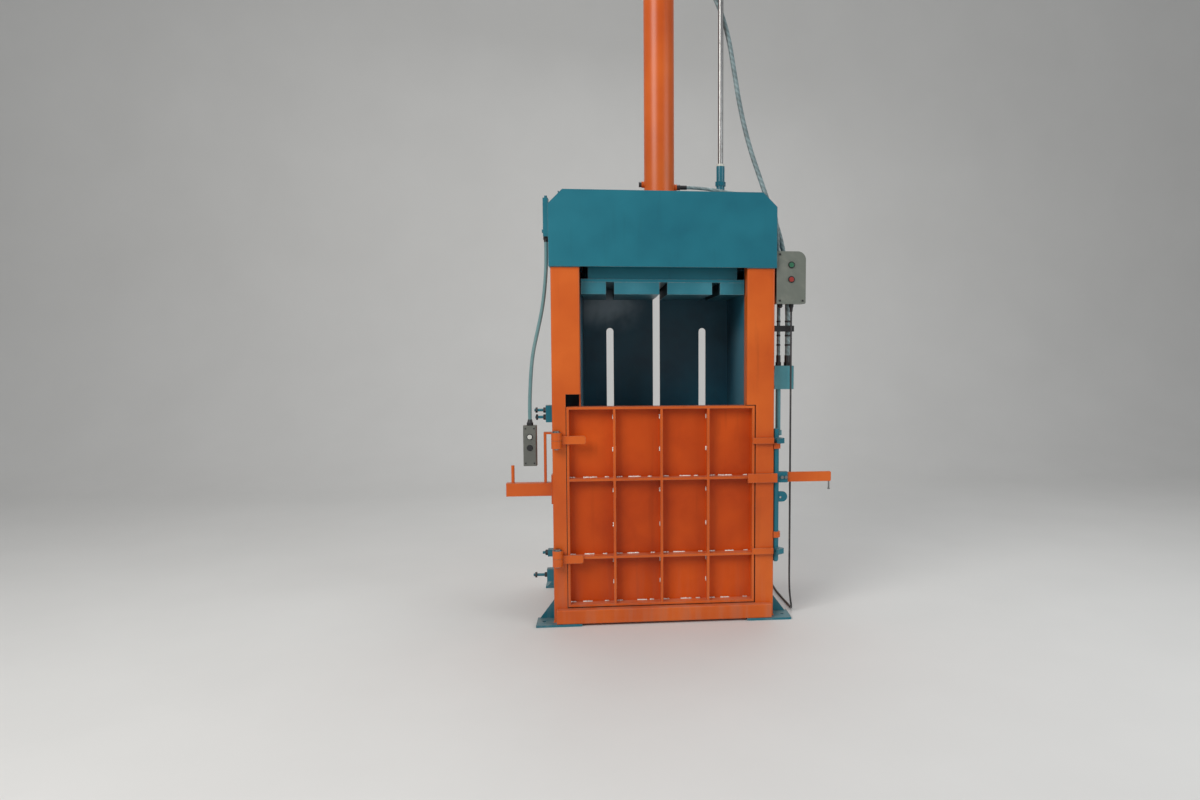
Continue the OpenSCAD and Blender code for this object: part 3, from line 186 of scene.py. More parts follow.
# %% Control cable
CABLE_D = 0.018
cable_line = smooth(millimetres([
    [-576, -330, 1900], [-576, -330, 1845], [-577, -330, 1785], [-581, -330, 1720],
    [-588, -330, 1650], [-598, -330, 1580], [-612, -330, 1510], [-628, -330, 1440],
    [-643, -330, 1370], [-653, -330, 1300], [-659, -330, 1225], [-663, -330, 1150],
    [-665, -330, 1085], [-665, -330, 1030]]), 4)
pendant_cord = tube("pendant_cord", cable_line, CABLE_D, 5)
cable_length = line_length(cable_line)
print("control cable:", round(cable_length, 3), "m")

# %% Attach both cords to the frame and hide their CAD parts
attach(power_cord, "frame")
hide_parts("power_lead", "power_coil")
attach(pendant_cord, "frame")
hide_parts("control_cable")

# %% [markdown]
# ## The hoses
#
# Two hydraulic hoses feed the cylinder, one at its cap and one at its gland. The CAD tubes have
# flat sides, so smooth tubes of the same size take their place.

# %% Hoses
hose_axis_y = sum(v[1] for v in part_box("piston_rod")) / 2
cap_z = (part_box("cylinder_cap")[0][2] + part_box("cylinder_cap")[1][2]) / 2
port_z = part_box("crosshead_top")[1][2] + 0.095
HOSE_X0, HOSE_Y, CLAMP_Z, HOSE_END = 0.147, -0.265, 1.480, 1.343
BIG_X, SMALL_X, BIG_D, SMALL_D = 0.642, 0.595, 0.025, 0.018
HOSE_STEPS = 8



def out_of_port(z):
    """Returns the straight start of a hose at the height of its port."""
    return [[HOSE_X0 + out, hose_axis_y, z] for out in (0.0, 0.012, 0.030)]


def into_block(x):
    """Returns the straight end of a hose, through the clamp and down to the block."""
    return [[x, HOSE_Y, z] for z in (CLAMP_Z + 0.030, CLAMP_Z - 0.040, HOSE_END)]


big_line = smooth(
    out_of_port(cap_z)
    + millimetres([
        [240, 36, 3322], [300, 56, 3245], [345, 62, 3145], [378, 52, 3020], [404, 36, 2860],
        [428, 18, 2700], [455, 0, 2560], [490, -20, 2420], [525, -50, 2300], [557, -80, 2190],
        [590, -112, 2080], [618, -145, 1980], [634, -180, 1880], [641, -212, 1780],
        [642, -240, 1680], [642, -256, 1600], [642, -265, 1540]])
    + into_block(BIG_X), HOSE_STEPS)
small_line = smooth(
    out_of_port(port_z)
    + millimetres([
        [230, 5, 2229], [280, -18, 2220], [335, -32, 2210], [420, -55, 2194], [490, -95, 2182],
        [545, -145, 2160], [582, -178, 2105], [596, -198, 2020], [600, -212, 1920],
        [600, -225, 1820], [599, -238, 1720], [597, -250, 1640], [596, -260, 1585],
        [595, -265, 1540]])
    + into_block(SMALL_X), HOSE_STEPS)
print("hoses:", round(line_length(big_line), 2), "m and", round(line_length(small_line), 2), "m")


# %% [markdown]
# ## Shader maths in plain Python
#
# A material is a sum of small decisions: where the paint is chipped, how dusty a ledge is. The
# class below wraps a socket, so that such a decision is written as arithmetic and each operator
# adds the Math node that does it.

# %% A socket that can be added and multiplied
class Socket:
    """Wraps one output socket of a material's node tree."""

    def __init__(self, tree, out):
        self.tree, self.out = tree, out

    def node(self, kind, settings=None, **inputs):
        """Adds any node; names with spaces are written with _ and numbers as _0, _1."""
        made = self.tree.nodes.new(kind)
        for key, value in (settings or {}).items():
            setattr(made, key, value)
        for key, value in inputs.items():
            place = int(key[1:]) if key[0] == "_" else key.replace("_", " ")
            socket = made.inputs[place]
            if isinstance(value, Socket):
                self.tree.links.new(value.out, socket)
            else:
                socket.default_value = value
        return made

    def of(self, kind, settings=None, output=0, **inputs):
        """Adds any node and returns one of its outputs, wrapped."""
        return Socket(self.tree, self.node(kind, settings, **inputs).outputs[output])

    def maths(self, operation, a, b=0.0, clamp=False):
        return self.of("ShaderNodeMath", {"operation": operation, "use_clamp": clamp}, _0=a, _1=b)

    def __add__(self, other):
        return self.maths("ADD", self, other)

    __radd__ = __add__

    def __sub__(self, other):
        return self.maths("SUBTRACT", self, other)

    def __rsub__(self, other):
        return self.maths("SUBTRACT", other, self)

    def __mul__(self, other):
        return self.maths("MULTIPLY", self, other)

    __rmul__ = __mul__

    def step(self, low, high):
        """Rises smoothly from 0 at low to 1 at high."""
        return self.of("ShaderNodeMapRange", {"interpolation_type": "SMOOTHSTEP"},
                       Value=self, From_Min=low, From_Max=high)

    def between(self, low, high):
        """Scales a value of 0 to 1 to the range from low to high."""
        return self.of("ShaderNodeMapRange", None, Value=self, To_Min=low, To_Max=high)

    def tint(self, a, b):
        """Mixes two colours by this value."""
        def colour(c):
            return c if isinstance(c, Socket) else (*c, 1.0)
        return self.of("ShaderNodeMix", {"data_type": "RGBA"}, 2, _0=self, _6=colour(a), _7=colour(b))


# %% [markdown]
# ## Where a surface is worn
#
# Paint wears first along edges. A Bevel node bends the normal near an edge, so the angle between
# the bent normal and the true one marks the edges of any mesh. Noise breaks the mark up into
# chips. Dust settles on faces that look upwards, and grime runs down the ones that stand.

# %% Masks that several finishes share
class Surface:
    """A new material with the masks that its colour, roughness and bump are made of."""

    def __init__(self, name):
        self.material = bpy.data.materials.new(name)
        self.material.use_nodes = True
        tree = self.material.node_tree
        self.shader = tree.nodes["Principled BSDF"]
        place = tree.nodes.new("ShaderNodeTexCoord")
        self.place = Socket(tree, place.outputs["Object"])
        geometry = tree.nodes.new("ShaderNodeNewGeometry")
        self.normal = Socket(tree, geometry.outputs["Normal"])
        self.tree = tree

    def noise(self, scale, detail=4.0, rough=0.55, stretch=None, warp=0.0):
        place = self.place
        if stretch:
            place = place.of("ShaderNodeMapping", None, Vector=place, Scale=stretch)
        return place.of("ShaderNodeTexNoise", None, Vector=place, Scale=scale, Detail=detail,
                        Roughness=rough, Distortion=warp)

    def edges(self, width):
        """Returns 0 on flat faces and up to about 0.3 along edges of that width."""
        bent = self.place.of("ShaderNodeBevel", {"samples": 6}, Radius=width)
        same = self.place.of("ShaderNodeVectorMath", {"operation": "DOT_PRODUCT"}, 1,
                             _0=bent, _1=self.normal)
        return 1.0 - same

    def facing(self, axis):
        """Returns the part of the normal along X, Y or Z, from -1 to 1."""
        return self.place.of("ShaderNodeSeparateXYZ", None, axis, Vector=self.normal)

    def sideways(self):
        """Returns 1 on faces that look left or right."""
        return self.place.maths("ABSOLUTE", self.facing(0)).step(0.6, 0.9)

    def frontal(self):
        """Returns 1 on faces that look to the front."""
        return 1.0 - self.facing(1).step(-0.9, -0.5)

    def along(self, axis):
        """Returns the place along X, Y or Z in metres."""
        return self.place.of("ShaderNodeSeparateXYZ", None, axis, Vector=self.place)

    def bump(self, height, strength, distance):
        return self.place.of("ShaderNodeBump", None, Height=height, Strength=strength, Distance=distance)

    def finish(self, colour, roughness, normal=None, metallic=None, coat=None, **constants):
        """Joins the results to the shader; a plain number is set on the socket itself."""
        wanted = {"Base Color": colour, "Roughness": roughness, "Normal": normal,
                  "Metallic": metallic, "Coat Weight": coat, **constants}
        for name, value in wanted.items():
            if value is None:
                continue
            socket = self.shader.inputs[name.replace("_", " ")]
            if isinstance(value, Socket):
                self.tree.links.new(value.out, socket)
            elif isinstance(value, tuple) and len(value) == 3:
                socket.default_value = (*value, 1.0)
            else:
                socket.default_value = value
        return self.material


# %% [markdown]
# ## Worn machine paint
#
# One recipe serves every orange and teal part. Brush marks and sags give the coat its slow
# ripple. Chips show primer at their rim and rusty steel inside, and a thin grey dust lies on
# ledges and near the floor. Around chips and along edges the paint is lighter, rubbed thin; on
# the platen this is strong enough to be a painted highlight along its edges. Painted shade, a
# near-black tint, darkens the notch of the front posts, the rear posts' faces behind the
# crosshead and the platen's grooves.

# %% Paint
PRIMER, RUST, DUST = (0.24, 0.17, 0.13), (0.11, 0.045, 0.02), (0.42, 0.37, 0.31)


def paint(name, colour, dark, light, chips=0.5, dust=0.5, gloss=0.34, grime=0.2, rubbed=0.3,
          shade=0.0, shine=0.38, behind=None):
    """Makes a worn coat of paint from its middle colour, a darker and a lighter one.

    With shade the faces along X get painted shade, a near-black tint; with behind, a pair of Y
    and Z, the front faces that lie farther back and higher than it get the same painted shade.
    """
    s = Surface(name)
    slow = s.noise(2.1, 3.0, 0.5)
    cloud = s.noise(9.0, 5.0, 0.6, warp=0.6)
    fine = s.noise(70.0, 4.0, 0.6)
    runs = s.noise(26.0, 3.0, 0.55, stretch=(1.0, 1.0, 0.09))
    coat = slow.step(0.35, 0.68).tint(dark, light)
    coat = (cloud.step(0.3, 0.75) * 0.55).tint(coat, colour)
    dirt = runs.step(0.56, 0.78) * (1.0 - s.facing(2).step(0.2, 0.6)) * grime
    coat = dirt.tint(coat, tuple(v * 0.42 for v in colour))
    # Painted shade: the faces picked by shade or behind are tinted near black below, standing for the
    # shade they lie in.
    painted_shade = None
    if shade:
        painted_shade = s.sideways() * shade
    if behind:
        y, z = behind
        deep = s.along(1).step(y, y + 0.01) * s.along(2).step(z, z + 0.01)
        painted_shade = deep * s.frontal()
    if painted_shade is not None:
        coat = painted_shade.tint(coat, (0.004, 0.018, 0.028))
    edge = s.edges(0.004)
    patches = s.noise(38.0, 6.0, 0.72, warp=0.4)
    worn = edge * 1.7 + patches * 0.72
    chipped = s.place.maths("ADD", worn.step(0.62 - 0.05 * chips, 0.70),
                            patches.step(0.775 - 0.02 * chips, 0.80) * 0.8, clamp=True)
    # Around chips and along edges the paint turns lighter: rubbed thin, and where rubbed is large, as on
    # the platen, a painted highlight along the edges.
    rim = worn.step(0.52 - 0.05 * chips, 0.60)
    coat = (rim * rubbed).tint(coat, tuple(min(v * 1.9 + 0.05, 1.0) for v in colour))
    metal = fine.step(0.42, 0.62).tint(PRIMER, RUST)
    coat = (chipped * 0.85).tint(coat, metal)
    low = 1.0 - s.along(2).step(0.02, 0.40)
    dusty = (s.facing(2).step(0.55, 0.95) * cloud.step(0.25, 0.6) * 0.75
             + low * runs.step(0.40, 0.70) * 0.42) * dust
    coat = dusty.tint(coat, DUST)
    rough = slow.between(gloss - 0.05, gloss + 0.10) + chipped * 0.35 + dusty * 0.45
    if painted_shade is not None:
        rough = rough + painted_shade * 0.5
    ripple = slow * 0.9 + cloud * 0.35 + fine * 0.05 - chipped * 0.30
    return s.finish(coat, rough, s.bump(ripple, 0.35, 0.0035), Coat_Weight=0.06,
                    Coat_Roughness=0.25, Specular_IOR_Level=shine)


ORANGE = (0.62, 0.106, 0.008), (0.53, 0.080, 0.006), (0.68, 0.130, 0.012)

finishes = {
    "paint_orange": paint("worn orange", *ORANGE, chips=0.3, dust=0.25),
    # Painted shade on the posts: the front posts' notch and the rear posts' faces behind the crosshead
    # are tinted near black.
    "front_posts": paint("worn orange, painted shade in the notch", *ORANGE, chips=0.3, dust=0.25,
                         behind=(-0.30, 1.0)),
    "rear_posts": paint("worn orange, painted shade behind the crosshead", *ORANGE, chips=0.3, dust=0.25,
                        behind=(0.20, 1.75)),
    "paint_panel": paint("worn orange panel", (0.56, 0.069, 0.003), (0.45, 0.049, 0.002),
                         (0.65, 0.092, 0.005), chips=0.2, dust=0.12, gloss=0.42, shine=0.22),
    "paint_teal": paint("worn teal", (0.009, 0.150, 0.205), (0.007, 0.122, 0.172), (0.014, 0.182, 0.240),
                        chips=0.3, dust=0.3, gloss=0.30, grime=0.10),
    # The platen gets painted shade on its faces along X, which darkens its grooves, and a strong lighter
    # rim that is a painted highlight along its edges.
    "platen": paint("worn teal platen, painted shade and edge highlight", (0.014, 0.155, 0.205), (0.008, 0.105, 0.145),
                    (0.045, 0.225, 0.285), chips=0.5, dust=0.3, rubbed=1.0, shade=0.9),
    "paint_block": paint("pale teal", (0.10, 0.33, 0.38), (0.07, 0.26, 0.31), (0.15, 0.40, 0.45),
                         chips=0.3),
}
print("paints:", ", ".join(finishes))


# %% [markdown]
# ## The chamber's dark steel
#
# Inside, the load rubs the paint away in upright streaks. Long thin noise along Z makes the
# streaks, and where they are bright the paint gives way to bare steel. A pale patch lies high on
# the back wall, and the side walls get painted light: they turn lighter towards the mouth,
# where light falls in.

# %% Chamber steel
def chamber_steel():
    s = Surface("rubbed chamber steel")
    slow = s.noise(3.0, 3.0)
    streaks = s.noise(34.0, 4.0, 0.6, stretch=(1.0, 1.0, 0.035))
    cross = s.noise(60.0, 3.0, 0.6, stretch=(0.12, 1.0, 1.0))
    cloud = s.noise(7.0, 6.0, 0.7, warp=0.8)
    rubbed = (streaks.step(0.54, 0.82) * 0.42 + cross.step(0.62, 0.86) * 0.22) * cloud.step(0.35, 0.75)
    flat = s.place.of("ShaderNodeMapping", None, Vector=s.place, Scale=(1.0, 0.0, 1.5))
    away = s.place.of("ShaderNodeVectorMath", {"operation": "DISTANCE"}, 1,
                      _0=flat, _1=(-0.27, 0.0, 2.40))
    puff = s.noise(5.0, 3.0, 0.55, warp=0.15)
    pale_patch = (1.0 - away.step(0.03, 0.25)) * puff.step(0.20, 0.60) * s.frontal()
    pale = cloud.step(0.60, 0.82) * 0.05 + pale_patch * 0.85
    base = slow.step(0.3, 0.7).tint((0.006, 0.058, 0.098), (0.012, 0.105, 0.160))
    # Painted light: the side walls are tinted lighter towards the mouth, where light falls in.
    lit_near_mouth = s.sideways() * (1.0 - s.along(1).step(-0.22, 0.24)) * 0.75
    base = lit_near_mouth.tint(base, (0.030, 0.190, 0.270))
    base = rubbed.tint(base, (0.09, 0.125, 0.145))
    base = pale.tint(base, (0.52, 0.62, 0.68))
    edge = s.edges(0.003)
    base = (edge * 2.0).step(0.1, 0.5).tint(base, (0.16, 0.15, 0.13))
    rough = slow.between(0.30, 0.44) + pale * 0.6
    return s.finish(base, rough, s.bump(streaks * 0.5 + slow, 0.25, 0.002),
                    metallic=rubbed * 0.4)


finishes["chamber_steel"] = chamber_steel()


# %% [markdown]
# ## Bare metals
#
# Turned and ground steel shows fine marks across its length. The marks are stretched noise in
# the bump and the roughness, and oil stains darken it here and there.

# %% Steels
def bare_metal(name, light, dark, rough_low, rough_high, stretch, oily=0.4):
    s = Surface(name)
    marks = s.noise(240.0, 3.0, 0.6, stretch=stretch)
    stain = s.noise(18.0, 5.0, 0.65, warp=0.5)
    specks = s.noise(150.0, 4.0, 0.7)
    base = marks.tint(dark, light)
    base = (stain.step(0.50, 0.74) * oily).tint(base, (0.10, 0.085, 0.065))
    base = (specks.step(0.68, 0.78) * 0.35).tint(base, (0.16, 0.075, 0.035))
    rough = marks.between(rough_low, rough_high) + stain.step(0.45, 0.8) * 0.15
    metal = 1.0 - specks.step(0.68, 0.78) * 0.6
    return s.finish(base, rough, s.bump(marks * 0.4 + stain * 0.3, 0.2, 0.0008), metallic=metal)


finishes["bright_steel"] = bare_metal("oiled bright steel", (0.36, 0.36, 0.35), (0.22, 0.22, 0.22),
                                      0.24, 0.42, (0.3, 0.3, 2.0))
weld_metal = bare_metal("bright weld metal", (0.86, 0.84, 0.80), (0.62, 0.60, 0.57),
                        0.35, 0.5, (1.0, 1.0, 1.0))
finishes["chromed_rod"] = bare_metal("ground chromed rod", (0.74, 0.74, 0.76), (0.62, 0.62, 0.64),
                                     0.08, 0.16, (0.2, 0.2, 3.0), oily=0.15)
finishes["dark_fittings"] = bare_metal("blackened steel fittings", (0.085, 0.085, 0.088),
                                       (0.035, 0.035, 0.037), 0.38, 0.55, (1.0, 1.0, 1.0))


# %% [markdown]
# ## Rubber, plastic and hammered paint
#
# Rubber is dark with a dusty bloom, and the hoses wear a spiral sleeve, whose ribs are a wave
# along the hose, with painted shade in the grooves between them. Moulded plastic has a fine grain that is
# only seen where light grazes it.

# %% Rubbers and plastics
def moulded(name, colour, rough, grain=600.0, bloom=0.3, strength=0.25, coat=0.0):
    """A moulded or rubber surface with a fine grain, a dusty bloom and rubbed edges."""
    s = Surface(name)
    pores = s.noise(grain, 3.0, 0.6)
    cloud = s.noise(14.0, 5.0, 0.6, warp=0.5)
    handled = s.noise(45.0, 4.0, 0.65)
    base = cloud.tint(tuple(v * 0.82 for v in colour), tuple(min(v * 1.15, 1.0) for v in colour))
    dusty = (s.facing(2).step(0.2, 0.9) * 0.5 + cloud.step(0.5, 0.8) * 0.5) * bloom
    base = dusty.tint(base, DUST)
    base = (s.edges(0.0015) * 1.6 * handled).step(0.08, 0.30).tint(
        base, tuple(min(v * 1.5 + 0.03, 1.0) for v in colour))
    roughness = handled.between(rough - 0.06, rough + 0.08) + dusty * 0.3
    return s.finish(base, roughness, s.bump(pores + handled * 0.4, strength, 0.0005), Coat_Weight=coat)


def sleeve(name, colour, pitch):
    """A hose with a spiral sleeve over it."""
    s = Surface(name)
    wave = s.place.maths("SINE", (s.along(2) * 0.8 + s.along(0) * 0.6) * (2 * math.pi / pitch))
    ribs = wave.step(-0.6, 0.6)
    cloud = s.noise(11.0, 5.0, 0.65, warp=0.8)
    fine = s.noise(190.0, 3.0)
    base = cloud.step(0.3, 0.7).tint(tuple(v * 0.75 for v in colour), tuple(v * 1.3 for v in colour))
    # Painted shade: the grooves between the sleeve's turns are darkened.
    base = ((1.0 - ribs) * 0.40).tint(base, tuple(v * 0.35 for v in colour))
    base = (cloud.step(0.62, 0.8) * 0.5).tint(base, (0.36, 0.36, 0.34))
    return s.finish(base, cloud.between(0.36, 0.6), s.bump(ribs + fine * 0.2, 0.5, 0.0016),
                    Coat_Weight=0.1)


finishes.update({
    "seal_rubber": moulded("seal rubber", (0.020, 0.020, 0.021), 0.55),
    "hose_rubber": sleeve("hose sleeve", (0.19, 0.26, 0.27), 0.022),
    "pale_nylon": moulded("pale nylon", (0.62, 0.62, 0.55), 0.42, 300.0, 0.2),
    "box_paint": moulded("hammered starter paint", (0.145, 0.160, 0.136), 0.38, 170.0, 0.35, 0.8, 0.15),
    "green_plastic": moulded("green button", (0.030, 0.14, 0.075), 0.28, bloom=0.1, coat=0.3),
    "red_plastic": moulded("red button", (0.30, 0.030, 0.022), 0.28, bloom=0.1, coat=0.3),
    "lead_rubber": moulded("lead rubber", (0.030, 0.030, 0.033), 0.50, 500.0, 0.35),
    "plug_plastic": moulded("plug plastic", (0.038, 0.038, 0.042), 0.44, 500.0, 0.25),
    "cable_sheath": moulded("control cable sheath", (0.13, 0.25, 0.26), 0.40, 260.0, 0.30),
    "pendant_plastic": moulded("pendant shell", (0.120, 0.125, 0.110), 0.42, 420.0, 0.30),
    "white_plastic": moulded("white button", (0.62, 0.62, 0.58), 0.32, bloom=0.15, coat=0.2),
    "black_plastic": moulded("black button", (0.018, 0.018, 0.020), 0.32, bloom=0.15, coat=0.2),
})
print("finishes:", len(finishes))

# %% Give every CAD node its finish
def dress(piece, finish):
    """Gives a piece one material in place of what it has."""
    piece.data.materials.clear()
    piece.data.materials.append(finish)


own = {"platen_blocks": "platen", "posts_front": "front_posts", "posts_rear": "rear_posts",
       "striker_rod": "bright_steel"}
for row in frame["record"]["subparts"]:
    dress(nodes[row["node"]], finishes[own.get(row["node"], row["material_slot"])])
dress(power_cord, finishes["lead_rubber"])
dress(pendant_cord, finishes["cable_sheath"])
for name, line, diameter in (("hose_to_cap", big_line, BIG_D), ("hose_to_gland", small_line, SMALL_D)):
    hose = tube(name, line, diameter, 6)
    dress(hose, finishes["hose_rubber"])
    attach(hose, "frame")
    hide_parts("hoses")


# %% [markdown]
# ## Weld beads by Geometry Nodes
#
# The door's ribs are welded with short stitches, and a stitch is a row of overlapping ripples.
# One tree makes every weld: it puts points along the edges of a mesh of lines, and sets a small
# flattened bead on each. Its inputs are the spacing and the size of a ripple.

# %% The weld tree
def weld_tree():
    """Builds the node group that turns lines into weld beads."""
    tree = bpy.data.node_groups.new("weld_beads", "GeometryNodeTree")
    face = tree.interface
    face.new_socket("Lines", in_out="INPUT", socket_type="NodeSocketGeometry")
    for name, value in (("Spacing", 0.004), ("Ripple", 0.0035)):
        face.new_socket(name, in_out="INPUT", socket_type="NodeSocketFloat").default_value = value
    face.new_socket("Seed", in_out="INPUT", socket_type="NodeSocketInt").default_value = 3
    face.new_socket("Finish", in_out="INPUT", socket_type="NodeSocketMaterial")
    face.new_socket("Beads", in_out="OUTPUT", socket_type="NodeSocketGeometry")
    new, link = tree.nodes.new, tree.links.new
    given, result = new("NodeGroupInput"), new("NodeGroupOutput")
    to_curve, points = new("GeometryNodeMeshToCurve"), new("GeometryNodeCurveToPoints")
    points.mode = "LENGTH"
    link(given.outputs["Lines"], to_curve.inputs["Mesh"])
    link(to_curve.outputs["Curve"], points.inputs["Curve"])
    link(given.outputs["Spacing"], points.inputs["Length"])
    bead = new("GeometryNodeMeshIcoSphere")
    bead.inputs["Subdivisions"].default_value = 2
    link(given.outputs["Ripple"], bead.inputs["Radius"])
    place, size = new("GeometryNodeInstanceOnPoints"), new("FunctionNodeRandomValue")
    size.data_type = "FLOAT"
    size.inputs[2].default_value, size.inputs[3].default_value = 0.8, 1.2
    link(given.outputs["Seed"], size.inputs["Seed"])
    link(points.outputs["Points"], place.inputs["Points"])
    link(bead.outputs["Mesh"], place.inputs["Instance"])
    link(size.outputs[1], place.inputs["Scale"])
    real, paint_it = new("GeometryNodeRealizeInstances"), new("GeometryNodeSetMaterial")
    link(place.outputs["Instances"], real.inputs["Geometry"])
    link(real.outputs["Geometry"], paint_it.inputs["Geometry"])
    link(given.outputs["Finish"], paint_it.inputs["Material"])
    link(paint_it.outputs["Geometry"], result.inputs["Beads"])
    return tree


WELDS = weld_tree()


def grown(name, mesh, tree, body, slot, finish=None, round_off=True, **inputs):
    """Runs a tree on a mesh, keeps the result as one plain piece on a body, and returns it."""
    source = bpy.data.objects.new(name + "_source", mesh)
    bpy.context.scene.collection.objects.link(source)
    modifier = source.modifiers.new("tree", "NODES")
    modifier.node_group = tree
    inputs["Finish"] = finish or finishes[slot]
    for item in tree.interface.items_tree:
        if item.item_type == "SOCKET" and item.in_out == "INPUT" and item.name in inputs:
            modifier[item.identifier] = inputs[item.name]
    depsgraph = bpy.context.evaluated_depsgraph_get()
    result = bpy.data.meshes.new_from_object(source.evaluated_get(depsgraph))
    bpy.data.objects.remove(source)
    piece = bpy.data.objects.new(name, result)
    bpy.context.scene.collection.objects.link(piece)
    for polygon in result.polygons:
        polygon.use_smooth = round_off
    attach(piece, body)
    print(name, "faces:", len(result.polygons))
    return piece


def lines_mesh(name, lines):
    """Makes a mesh of separate straight lines, each given by its two ends."""
    mesh = bpy.data.meshes.new(name)
    ends = [end for line in lines for end in line]
    mesh.from_pydata(ends, [(2 * i, 2 * i + 1) for i in range(len(lines))], [])
    return mesh


# %% [markdown]
# ## Where the door is welded
#
# Each crossing of two ribs has four short upright beads, and under each shelf there are bright
# stitches where the paint missed the weld. The places come from the CAD node boxes.

# %% Door welds
door_lo, door_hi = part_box("door_frame")
RIB = 0.012
COLUMNS = 4
rib_x = [door_lo[0] + i * (door_hi[0] - door_lo[0]) / COLUMNS for i in range(1, COLUMNS)]
rib_z = [door_lo[2] + 0.249, door_hi[2] - 0.364]
panel_y = door_hi[1]
weld_y = panel_y - 0.001
random.seed(7)
painted, bare = [], []
for x in rib_x:
    for z in rib_z:
        for side in (-1, 1):
            for up in (-1, 1):
                px, pz = x + side * RIB / 2, z + up * RIB / 2
                painted.append(((px, door_lo[1] + 0.004, pz), (px, panel_y - 0.003, pz)))
for z in rib_z + [door_lo[2] + RIB]:
    top = z + (RIB / 2 if z in rib_z else 0.0)
    for x0, x1 in zip([door_lo[0]] + rib_x, rib_x + [door_hi[0]]):
        middle = (x0 + x1) / 2 + random.uniform(-0.03, 0.03)
        half = random.uniform(0.018, 0.034)
        bare.append(((middle - half, weld_y, top), (middle + half, weld_y, top)))
        corner = x0 + RIB / 2 + 0.006
        bare.append(((corner, weld_y, top), (corner + 0.022, weld_y, top)))
        far = x1 - RIB / 2 - random.uniform(0.035, 0.060)
        bare.append(((far, weld_y, top), (far + 0.014, weld_y, top)))
for x in rib_x:
    for z0, z1 in zip([door_lo[2]] + rib_z, rib_z + [door_hi[2]]):
        for share in (0.3, 0.75):
            at = z0 + (z1 - z0) * share
            painted.append(((x + RIB / 2, weld_y, at), (x + RIB / 2, weld_y, at + 0.05)))
            bare.append(((x - RIB / 2, weld_y, at + 0.03), (x - RIB / 2, weld_y, at + 0.044)))
grown("door_welds_painted", lines_mesh("door_lines", painted), WELDS, "door", "paint_orange")
grown("door_welds_bare", lines_mesh("door_lines_bare", bare), WELDS, "door", "bright_steel",
      finish=weld_metal, Spacing=0.0055, Ripple=0.0055)


# %% Frame welds
POST_WIDE, POST_DEEP, HALF_DEEP = 0.140, 0.100, 0.370
post_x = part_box("posts_front")[1][0]
base_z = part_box("feet")[1][2] - 0.100
front_lines, teal_lines = [], []
for side in (-1, 1):
    for end in (-1, 1):
        x0, x1 = side * (post_x - POST_WIDE), side * post_x
        y0, y1 = end * HALF_DEEP, end * (HALF_DEEP - POST_DEEP)
        ring = [(x0, y0, base_z), (x1, y0, base_z), (x1, y1, base_z), (x0, y1, base_z)]
        front_lines += [(ring[i], ring[(i + 1) % 4]) for i in range(4)]
beam_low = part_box("crosshead_plates")[0][2]
for x0, x1 in ((-post_x, -post_x + POST_WIDE), (post_x - POST_WIDE, post_x)):
    for y in (-HALF_DEEP, HALF_DEEP):
        teal_lines.append(((x0, y, beam_low), (x1, y, beam_low)))
half_top, _, top_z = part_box("crosshead_top")[1]
for y in (-HALF_DEEP, HALF_DEEP):
    teal_lines.append(((-half_top + 0.02, y, top_z), (half_top - 0.02, y, top_z)))
for x in (-half_top, half_top):
    teal_lines.append(((x, 0.001 - HALF_DEEP, top_z - 0.001), (x, HALF_DEEP - 0.001, top_z - 0.001)))
grown("frame_welds", lines_mesh("frame_lines", front_lines), WELDS, "frame", "paint_orange")
grown("crosshead_welds", lines_mesh("teal_lines", teal_lines), WELDS, "frame", "paint_teal")


# %% [markdown]
# ## Nuts, washers and screws
#
# A fastener is a short profile turned about its axis: with six sides it is a nut, with many it is
# a washer or a screw with a recess in its head. A second tree sets one on each point of a mesh
# and turns every one by chance, as hands and spanners leave them.

# %% A turned fastener and the tree that places it
def turned(name, profile, sides):
    """Turns a closed profile of (radius, height) rows about Z."""
    mesh = bpy.data.meshes.new(name)
    work = bmesh.new()
    rings = []
    for radius, height in profile:
        if radius < 1e-6:
            rings.append([work.verts.new((0, 0, height))])
        else:
            rings.append([work.verts.new((radius * math.cos(a), radius * math.sin(a), height))
                          for a in (2 * math.pi * k / sides for k in range(sides))])
    hollow = len(rings[0]) > 1
    pairs = list(zip(rings, rings[1:] + ([rings[0]] if hollow else [])))
    for low, high in pairs:
        for k in range(sides):
            j = (k + 1) % sides
            if len(low) == 1:
                work.faces.new((low[0], high[k], high[j]))
            elif len(high) == 1:
                work.faces.new((low[k], high[0], low[j]))
            else:
                work.faces.new((low[k], high[k], high[j], low[j]))
    bmesh.ops.recalc_face_normals(work, faces=work.faces)
    work.to_mesh(mesh)
    work.free()
    shape = bpy.data.objects.new(name, mesh)
    bpy.context.scene.collection.objects.link(shape)
    return shape


def nut(name, across, bore, high):
    """A hexagon nut with its upper corners taken off."""
    r = across / math.sqrt(3)
    return turned(name, [(bore, 0), (r, 0), (r, high * 0.82), (r * 0.90, high), (bore * 1.15, high),
                         (bore, high * 0.9)], 6)


def washer(name, inner, outer, thick):
    """A flat ring with eased edges."""
    e = thick * 0.25
    return turned(name, [(inner, 0), (outer, 0), (outer, thick - e), (outer - e, thick),
                         (inner + e, thick), (inner, thick - e)], 40)


def screw_head(name, r):
    """A domed head with a recess for the key."""
    h = r * 0.62
    return turned(name, [(0, 0), (r, 0), (r, h * 0.3), (r * 0.82, h * 0.78), (r * 0.5, h),
                         (r * 0.42, h * 0.95), (r * 0.38, h * 0.45), (0, h * 0.45)], 24)


